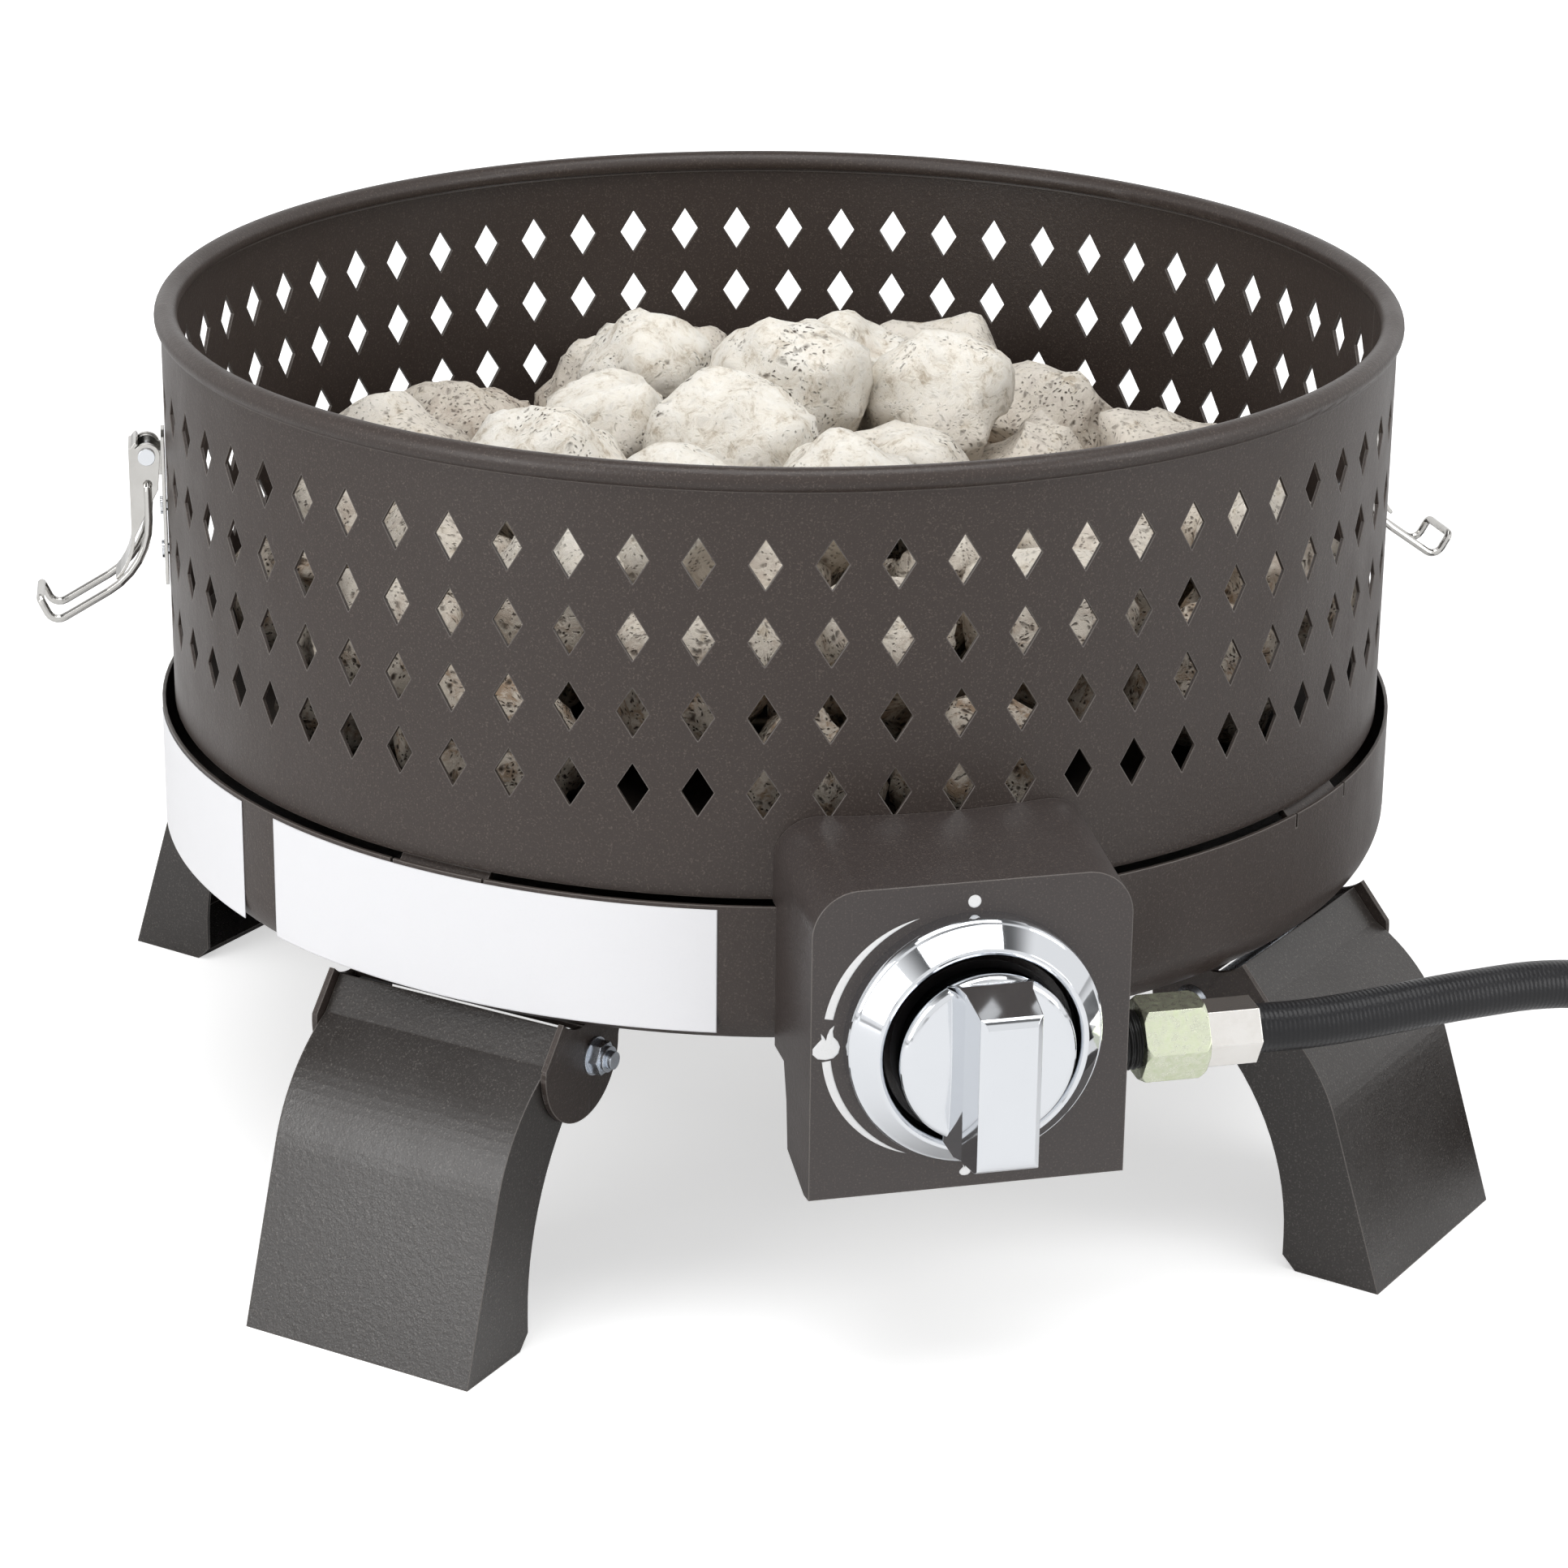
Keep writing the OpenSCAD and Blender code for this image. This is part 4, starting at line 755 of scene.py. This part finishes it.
@dataclass
class Studio:
    """A pale seamless floor, a white surround and soft lamps."""

    floor_size: float = 14.0
    floor_colour: Colour = (0.80, 0.80, 0.80)
    floor_roughness: float = 0.9
    ambient: float = 0.50
    near_lift: float = 0.55
    mirrored_lift: float = 0.10
    far_lift: float = 1.0
    shadow_reach: tuple[float, float] = (0.45, 2.2)
    dark_above: tuple[float, float] = (0.60, 0.82)
    ceiling: float = 0.14
    lamps: list[Softbox] = field(default_factory=lambda: [
        Softbox("overhead", (0.0, -0.45, 2.0), 2.0, 1.2, 27.0),
        Softbox("left", (-2.2, -1.1, 1.0), 1.2, 1.6, 26.0),
        Softbox("right", (2.0, -1.5, 0.9), 1.0, 1.4, 15.0),
    ])

    def build(self) -> None:
        """Adds the floor, the surround and the lamps."""
        self.floor()
        self.surround()
        for lamp in self.lamps:
            lamp.build()
        bpy.context.scene.view_settings.view_transform = "Standard"

    def seen(self, b: NodeBuilder) -> Socket:
        """A mask that is 1 for camera, glossy and transmission rays."""
        path = b.add("ShaderNodeLightPath").outputs
        some = b.math("MAXIMUM", path["Is Camera Ray"], path["Is Glossy Ray"])
        return b.math("MAXIMUM", some, path["Is Transmission Ray"])

    def floor(self) -> None:
        """Adds the floor, white where it is seen far away, and less so under the object's shadow."""
        bpy.ops.mesh.primitive_plane_add(size=self.floor_size, location=(0.0, 0.0, 0.0))
        floor = bpy.context.object
        floor.name = "floor"
        settle(floor)
        material, b, shader = new_material("pale floor")
        away = b.add("ShaderNodeVectorMath", operation="LENGTH")
        b.feed(b.place(), away.inputs[0])
        lift = b.remap(away.outputs["Value"], *self.shadow_reach, self.near_lift, self.far_lift, eased=True)
        path = b.add("ShaderNodeLightPath").outputs
        direct = b.blend(path["Is Camera Ray"], self.mirrored_lift, lift, kind="FLOAT")
        b.fill(shader, {
            "Base Color": opaque(self.floor_colour),
            "Roughness": self.floor_roughness,
            "Specular IOR Level": 0.0,
            "Emission Color": opaque(WHITE),
            "Emission Strength": b.math("MULTIPLY", direct, self.seen(b)),
        })
        floor.data.materials.append(material)

    def surround(self) -> None:
        """Sets the world: white where it is seen, soft grey elsewhere, and dark above in bright metal."""
        world = bpy.data.worlds.new("surround")
        bpy.context.scene.world = world
        world.use_nodes = True
        b = NodeBuilder(world.node_tree)
        level = b.remap(self.seen(b), 0.0, 1.0, low=self.ambient)
        where = b.add("ShaderNodeTexCoord").outputs["Generated"]
        height = b.add("ShaderNodeSeparateXYZ", Vector=where).outputs["Z"]
        above = b.remap(height, *self.dark_above, 1.0, self.ceiling, eased=True)
        path = b.add("ShaderNodeLightPath").outputs
        mirrored = b.blend(path["Is Glossy Ray"], 1.0, above, kind="FLOAT")
        b.fill(world.node_tree.nodes["Background"], {
            "Color": opaque(WHITE),
            "Strength": b.math("MULTIPLY", level, mirrored),
        })


# ------------------------ hose


LEAD_ROUTE: list[Point] = [
    (0.100, -0.2008, 0.109), (0.118, -0.2008, 0.109), (0.134, -0.1998, 0.1095), (0.150, -0.1986, 0.1105),
    (0.166, -0.1971, 0.1115), (0.182, -0.1955, 0.112), (0.198, -0.1938, 0.112), (0.214, -0.1924, 0.1105),
    (0.230, -0.1913, 0.107), (0.245, -0.1905, 0.1015), (0.259, -0.190, 0.094), (0.272, -0.190, 0.0855),
    (0.284, -0.190, 0.0765), (0.296, -0.190, 0.067), (0.308, -0.190, 0.0575), (0.320, -0.190, 0.0485),
    (0.332, -0.190, 0.040), (0.344, -0.190, 0.0328), (0.357, -0.190, 0.0274), (0.370, -0.190, 0.0251),
    (0.379, -0.190, 0.0251)]
TAIL_ROUTE: list[Point] = [
    (0.503, -0.066, 0.0081), (0.503, -0.050, 0.0081), (0.503, -0.039, 0.009), (0.503, -0.028, 0.0112),
    (0.503, -0.017, 0.0146), (0.503, -0.006, 0.0184), (0.503, 0.006, 0.0216), (0.503, 0.018, 0.023),
    (0.503, 0.028, 0.023), (0.503, 0.038, 0.023)]


def eased_line(points: list[Point], between: int) -> list[Vector]:
    """Runs a smooth line through points.

    Args:
        points: The points that the line passes.
        between: Steps from each point to the next.

    Returns:
        The line's points, the given ones among them.
    """
    knots = [Vector(p) for p in points]
    line = []
    for i in range(len(knots) - 1):
        a, b = knots[i], knots[i + 1]
        before = knots[i - 1] if i else a + (a - b)
        after = knots[i + 2] if i + 2 < len(knots) else b + (b - a)
        for k in range(between):
            u = k / between
            line.append(0.5 * (2 * a + (b - before) * u + (2 * before - 5 * a + 4 * b - after) * u ** 2
                               + (3 * a - before - 3 * b + after) * u ** 3))
    return line + [knots[-1]]


@dataclass
class Hose:
    """The supply hose: a free stretch, a stored coil and a short rise to the regulator."""

    tube_r: float = 0.008
    sides: int = 24
    between: int = 3
    coil_centre: tuple[float, float] = (0.395, -0.082)
    coil_r: float = 0.108
    pitch: float = 0.017
    low: float = 0.0081
    rise: float = 0.017
    inward: float = 2.375
    dip: float = 0.003
    steps: int = 60
    crossover: float = 0.5
    tie_azimuths: tuple[float, ...] = (132.0, 312.0)
    fittings: tuple[str, ...] = ("regulator_ferrule", "regulator_body", "regulator_cap", "cylinder_nipple",
                                 "cylinder_handwheel")

    def coil(self) -> list[Point]:
        """Points of the coil, spiralling in on the upper layer and out on the lower one."""
        turns = 2 * self.inward + self.crossover
        count = round(turns * self.steps)
        points = []
        for i in range(count + 1):
            u = turns * i / count
            part = min(1.0, max(0.0, (u - self.inward) / self.crossover))
            wound = u if u < self.inward else self.inward if u < self.inward + self.crossover else turns - u
            radius = self.coil_r - self.dip * math.sin(math.pi * part) - self.pitch * wound
            height = self.low + self.rise * (1 - part * part * (3 - 2 * part))
            a = 2 * math.pi * u
            points.append((self.coil_centre[0] + radius * math.sin(a),
                           self.coil_centre[1] - radius * math.cos(a), height))
        return points

    def route(self) -> list[Vector]:
        """The whole centre line, from the ferrule to the regulator."""
        coil = [Vector(p) for p in self.coil()]
        return eased_line(LEAD_ROUTE, self.between) + coil + eased_line(TAIL_ROUTE, self.between)

    def crossings(self, azimuth: float) -> list[tuple[float, float]]:
        """Where the coil's turns cross a half plane through its axis.

        Args:
            azimuth: The plane's angle, measured as the coil's own angle, in degrees.

        Returns:
            Distance from the coil's axis and height of each crossing.
        """
        across, ahead = self.coil_centre
        return [(math.hypot(x - across, y - ahead), z) for i, (x, y, z) in enumerate(self.coil()[:-1])
                if (i * 360.0 / self.steps) % 360.0 == azimuth]

    def skin(self, line: list[Vector]) -> tuple[list, list, list]:
        """Points, faces and wrap coordinates of the tube round a line.

        Args:
            line: The centre line.

        Returns:
            The points, the faces and each face's wrap pairs: turns round the tube and metres along it.
        """
        verts, wrap = [], []
        side = Vector((0.0, -1.0, 0.0))
        n = self.sides
        along = 0.0
        for i, at in enumerate(line):
            ahead = (line[min(i + 1, len(line) - 1)] - line[max(i - 1, 0)]).normalized()
            side = (side - side.dot(ahead) * ahead).normalized()
            over = side.cross(ahead)
            verts.extend(at + self.tube_r * (math.cos(2 * math.pi * k / n) * side
                                             + math.sin(2 * math.pi * k / n) * over) for k in range(n))
        for a, b in zip(line, line[1:]):
            end = along + (b - a).length
            wrap.extend(((k / n, along), ((k + 1) / n, along), ((k + 1) / n, end), (k / n, end))
                        for k in range(n))
            along = end
        caps = [((0.0, 0.0),) * n] * 2
        return verts, ring_faces(len(line), n), wrap + caps

    def build(self, finishes: Finishes) -> None:
        """Args:
            finishes: The built materials.
        """
        line = self.route()
        hose = mesh_piece("supply_hose", *self.skin(line))
        smooth(hose, angle=50)
        ties = [CoilTie(self, azimuth).build(finishes) for azimuth in self.tie_azimuths]
        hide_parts("hose_lead", "hose_coil", "hose_tail")
        dress(hose, Body.PIT, finishes[Look.RUBBER])


@dataclass
class CoilTie:
    """A hook-and-loop strap pulled tight round the coil's turns, its end laid over its start."""

    hose: Hose
    azimuth: float
    width: float = 0.018
    thick: float = 0.0009
    clearance: float = 0.0004
    facets: int = 32
    overlap: float = 0.30
    seam_lean: float = 0.2
    seam_step: float = 0.006
    seam_lift: float = 1.25
    steps: int = 120
    rows: int = 6

    def outline(self) -> list[tuple[float, float]]:
        """The taut line round the turns, as distances from the coil's axis and heights."""
        reach = self.hose.tube_r + self.clearance
        n = self.facets
        ring = [(r + reach * math.cos(2 * math.pi * k / n), z + reach * math.sin(2 * math.pi * k / n))
                for r, z in self.hose.crossings(self.azimuth) for k in range(n)]
        return [ring[i] for i in convex_hull_2d([Vector(p) for p in ring])]

    def run(self) -> list[tuple[float, float]]:
        """The strap's own line: once round the turns, and on over its start."""
        taut = self.outline()
        top = max(range(len(taut)), key=lambda i: taut[i][1] - self.seam_lean * taut[i][0])
        taut = taut[top:] + taut[:top]
        lengths = [math.dist(a, b) for a, b in zip(taut, taut[1:] + taut[:1])]
        around = sum(lengths)
        centre = Vector((sum(p[0] for p in taut) / len(taut), sum(p[1] for p in taut) / len(taut)))
        run = []
        for i in range(self.steps + 1):
            s = (around + self.overlap * around) * i / self.steps
            at = s % around
            k = 0
            while at > lengths[k]:
                at -= lengths[k]
                k += 1
            a, b = taut[k], taut[(k + 1) % len(taut)]
            u = at / lengths[k]
            r, z = a[0] + (b[0] - a[0]) * u, a[1] + (b[1] - a[1]) * u
            out = Vector((r - centre.x, z - centre.y)).normalized()
            over = min(1.0, max(0.0, (s - around + self.seam_step) / self.seam_step))
            lift = self.seam_lift * self.thick * over
            run.append((r + out.x * lift, max(z + out.y * lift, 0.5 * self.thick)))
        return run

    def build(self, finishes: Finishes) -> bpy.types.Object:
        """Lays the strap round the turns and gives it its thickness.

        Args:
            finishes: The built materials.

        Returns:
            The finished strap.
        """
        angle = math.radians(self.azimuth)
        across = Vector((math.cos(angle), math.sin(angle), 0.0))
        outward = Vector((math.sin(angle), -math.cos(angle), 0.0))
        start = Vector((*self.hose.coil_centre, 0.0))
        verts = [start + outward * r + Vector((0.0, 0.0, z)) + across * self.width * (j / self.rows - 0.5)
                 for r, z in self.run() for j in range(self.rows + 1)]
        strap = mesh_piece(f"coil_tie_{self.azimuth:.0f}", verts, sheet_faces(self.steps, self.rows))
        modify(strap, "SOLIDIFY", thickness=self.thick, offset=0.0)
        modify(strap, "BEVEL", width=0.0002, segments=2)
        apply_all(strap)
        smooth(strap, angle=40)
        dress(strap, Body.PIT, finishes[Look.PLASTIC])
        return strap


# ------------------------ rocks


@dataclass(frozen=True)
class Relief:
    """One noise that pushes a rock's skin in and out."""

    name: str
    kind: str
    noise_scale: float
    depth: float
    own: tuple[str, object]

    def push(self, piece: bpy.types.Object) -> None:
        """Adds the push to a piece."""
        texture = bpy.data.textures.get(self.name) or bpy.data.textures.new(self.name, self.kind)
        texture.noise_scale = self.noise_scale
        setattr(texture, *self.own)
        modify(piece, "DISPLACE", texture=texture, texture_coords="LOCAL", strength=self.depth,
               mid_level=0.5)


@dataclass
class RockBed:
    """The lava rocks: every lump of the frame rounded, swollen unevenly and pitted."""

    nodes: tuple[str, ...] = ("rocks_lower", "rocks_upper")
    levels: int = 2
    crease: float = 0.55
    merge: float = 1e-5
    reliefs: tuple[Relief, ...] = (
        Relief("rock swell", "CLOUDS", 0.042, 0.021, ("noise_depth", 1)),
        Relief("rock chips", "VORONOI", 0.024, 0.0055, ("distance_metric", "DISTANCE_SQUARED")),
        Relief("rock pits", "CLOUDS", 0.005, 0.0020, ("noise_depth", 3)),
    )

    def build(self, finishes: Finishes) -> None:
        """Makes a rough copy of each rock node and hides that node.

        Args:
            finishes: The built materials.
        """
        for node in self.nodes:
            piece = node_copy(node, node.replace("rocks", "lava"), self.merge)
            bpy.ops.mesh.tris_convert_to_quads()
            bpy.ops.transform.edge_crease(value=self.crease)
            bpy.ops.object.mode_set(mode="OBJECT")
            sharp = piece.data.attributes.get("sharp_edge")
            if sharp:
                piece.data.attributes.remove(sharp)
            modify(piece, "SUBSURF", levels=self.levels, render_levels=self.levels)
            for relief in self.reliefs:
                relief.push(piece)
            apply_all(piece)
            smooth(piece, angle=60)
            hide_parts(node)
            dress(piece, Body.PIT, finishes[Look.STONE])


# ------------------------ hinge brackets


@dataclass
class TrimmedBracket:
    """A hinge bracket whose ears are cut flush beside the leg, below the pan's rounded edge."""

    node: str
    azimuth: float
    slope: float = 40.0
    edge: tuple[float, float] = (0.2152, 0.1076)

    def build(self, finishes: Finishes) -> None:
        """Copies the bracket, cuts its ears and hides the node.

        Args:
            finishes: The built materials.
        """
        piece = node_copy(self.node, self.node.replace("bracket", "hinge_bracket"), MERGE)
        outward = at_ring(self.azimuth, 1.0, 0.0) - at_ring(self.azimuth, 0.0, 0.0)
        lean = math.radians(self.slope)
        bpy.ops.mesh.bisect(plane_co=at_ring(self.azimuth, *self.edge),
                            plane_no=outward * math.cos(lean) + Vector((0.0, 0.0, math.sin(lean))),
                            use_fill=True, clear_outer=True)
        bpy.ops.object.mode_set(mode="OBJECT")
        smooth(piece, angle=30)
        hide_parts(self.node)
        dress(piece, Body.PIT, finishes[Look.BRONZE_COAT])


# ------------------------ threads


@dataclass
class Thread:
    """A right-handed screw thread round a straight stretch."""

    name: str
    slot: str
    look: Look
    length: float
    crest: float = 0.0098
    depth: float = 0.0011
    pitch: float = 0.0018
    sides: int = 48
    rows: int = 6

    def verts(self, foot: Vector, axis: Vector) -> list[Vector]:
        """Points of the thread's skin, from one end to the other.

        Args:
            foot: Middle of the end where the thread starts.
            axis: Unit vector along the thread.

        Returns:
            The points, ring after ring, with both ends drawn in to the root.
        """
        side = axis.orthogonal().normalized()
        over = axis.cross(side)
        count = round(self.length / self.pitch * self.rows)
        points = []
        for i in range(count + 1):
            along = self.length * i / count
            for k in range(self.sides):
                phase = (along / self.pitch - k / self.sides) % 1.0
                flank = abs(2.0 * phase - 1.0) if 0 < i < count else 1.0
                r = self.crest - self.depth * flank
                a = 2 * math.pi * k / self.sides
                points.append(foot + axis * along + r * (math.cos(a) * side + math.sin(a) * over))
        return points

    def build(self, foot: Vector, axis: Vector, body: Body, finishes: Finishes) -> None:
        """Makes the thread as one piece.

        Args:
            foot: Middle of the end where the thread starts.
            axis: Unit vector along the thread.
            body: The body that carries it.
            finishes: The built materials.
        """
        verts = self.verts(foot, axis)
        thread = mesh_piece(self.name, verts, ring_faces(len(verts) // self.sides, self.sides))
        smooth(thread, angle=50)
        dress(thread, body, finishes[self.look])


def middle(node: str) -> Vector:
    """Middle of a node's box at rest."""
    low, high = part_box(node)
    return (Vector(low) + Vector(high)) / 2


def inlet_thread(finishes: Finishes, shift: float = 0.0002) -> None:
    """Cuts the thread on the gas inlet's neck, from just off the box to just inside the flare nut."""
    nut = middle("flare_nut")
    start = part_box("control_box")[1][0] + shift
    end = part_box("flare_nut")[0][0] + shift
    thread = Thread("inlet_thread", "black_fitting", Look.BLACK_FITTING, end - start)
    thread.build(Vector((start, nut.y, nut.z)), Vector((1.0, 0.0, 0.0)), Body.PIT, finishes)


# ------------------------ panel marks and bare labels


FLAME: list[tuple[float, float]] = [
    (0.0, -0.5), (0.2, -0.47), (0.34, -0.34), (0.38, -0.16), (0.32, 0.0), (0.2, 0.14), (0.18, 0.3),
    (0.22, 0.46), (0.1, 0.36), (0.03, 0.2), (0.0, 0.05), (-0.06, 0.16), (-0.14, 0.26), (-0.12, 0.1),
    (-0.24, -0.02), (-0.36, -0.16), (-0.36, -0.32), (-0.22, -0.46)]


@dataclass
class PanelMarks:
    """White marks printed on the control panel round the knob: a dot, two tapered arcs and two flames."""

    front_y: float = RING_AXIS_Y - 0.260
    centre_z: float = 0.1255
    thick: float = 0.00012
    inner: float = 0.0453
    outer: float = 0.0481
    tip: float = 0.0439
    taper: float = 2.2
    arc_steps: int = 24
    dot_sides: int = 32
    dot: Point = (0.0, 0.0445, 0.0021)
    arcs: tuple[tuple[float, float], ...] = ((168.8, 113.5), (-173.8, -117.0))
    flames: tuple[Point, ...] = ((-0.0466, 0.0014, 0.0118), (-0.0008, -0.0462, 0.0050))

    def place(self, across: float, up: float) -> Vector:
        """A point on the panel, measured from the knob's axis."""
        return Vector((across, self.front_y, self.centre_z + up))

    def arc(self, start: float, end: float) -> list[Vector]:
        """Outline of an arc that is wide at its start and runs to a point at its end.

        Args:
            start: Angle of the wide end, in degrees.
            end: Angle of the pointed end.

        Returns:
            The outline's points.
        """
        low, high = [], []
        for i in range(self.arc_steps + 1):
            u = i / self.arc_steps
            a = math.radians(start + (end - start) * u)
            lean = u ** self.taper
            for line, rim in ((low, self.inner), (high, self.outer)):
                r = rim + (self.tip - rim) * lean
                line.append(self.place(r * math.cos(a), r * math.sin(a)))
        return low + high[-2::-1]

    def flame(self, across: float, up: float, size: float) -> list[Vector]:
        """Outline of a small flame with two tongues, by its middle and its height."""
        return [self.place(across + x * size, up + z * size) for x, z in FLAME]

    def disc(self, across: float, up: float, radius: float) -> list[Vector]:
        """Outline of a round dot."""
        turns = [2 * math.pi * i / self.dot_sides for i in range(self.dot_sides)]
        return [self.place(across + radius * math.cos(a), up + radius * math.sin(a)) for a in turns]

    def build(self, finishes: Finishes) -> None:
        """Makes every mark a thin raised print and joins them.

        Args:
            finishes: The built materials.
        """
        outlines = [self.disc(*self.dot), *(self.arc(*ends) for ends in self.arcs),
                    *(self.flame(*place) for place in self.flames)]
        verts, faces = [], []
        for outline in outlines:
            start = len(verts)
            verts.extend(outline)
            faces.append(tuple(range(start, start + len(outline))))
        marks = mesh_piece("panel_marks", verts, faces)
        modify(marks, "SOLIDIFY", thickness=2 * self.thick, offset=0.0)
        apply_all(marks)
        dress(marks, Body.PIT, finishes[Look.PRINT])


@dataclass
class BareLabel:
    """A bare white label wrapped on the base pan's wall."""

    name: str
    start: float
    end: float
    low: float = 0.1098
    high: float = 0.1522
    radius: float = 0.21955
    thick: float = 0.00015
    steps: int = 40
    rows: int = 6

    def build(self, finishes: Finishes) -> None:
        """Rolls the label round the wall, gives it thickness and dresses it.

        Args:
            finishes: The built materials.
        """
        verts = [at_ring(self.start + (self.end - self.start) * i / self.steps, self.radius,
                         self.low + (self.high - self.low) * j / self.rows)
                 for i in range(self.steps + 1) for j in range(self.rows + 1)]
        label = mesh_piece(self.name, verts, sheet_faces(self.steps, self.rows))
        modify(label, "SOLIDIFY", thickness=self.thick, offset=1.0)
        apply_all(label)
        smooth(label, angle=40)
        dress(label, Body.PIT, finishes[Look.LABEL])


# ------------------------ run


def main() -> None:
    """Builds the camera, the studio, the finishes and every piece."""
    logging.basicConfig(level=logging.INFO, format="%(name)s: %(message)s")
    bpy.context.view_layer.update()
    Photographer().build()
    Studio().build()
    finishes = Finishes()
    finishes.dress_frame()
    Hose().build(finishes)
    RockBed().build(finishes)
    for corner, azimuth in LEG_AZIMUTHS.items():
        TrimmedBracket(f"bracket_{corner}", azimuth).build(finishes)
    inlet_thread(finishes)
    PanelMarks().build(finishes)
    BareLabel("label_wide", -152.9, -108.4).build(finishes)
    BareLabel("label_side", -184.0, -158.0).build(finishes)
    unselect()


if __name__ == "__main__":
    main()
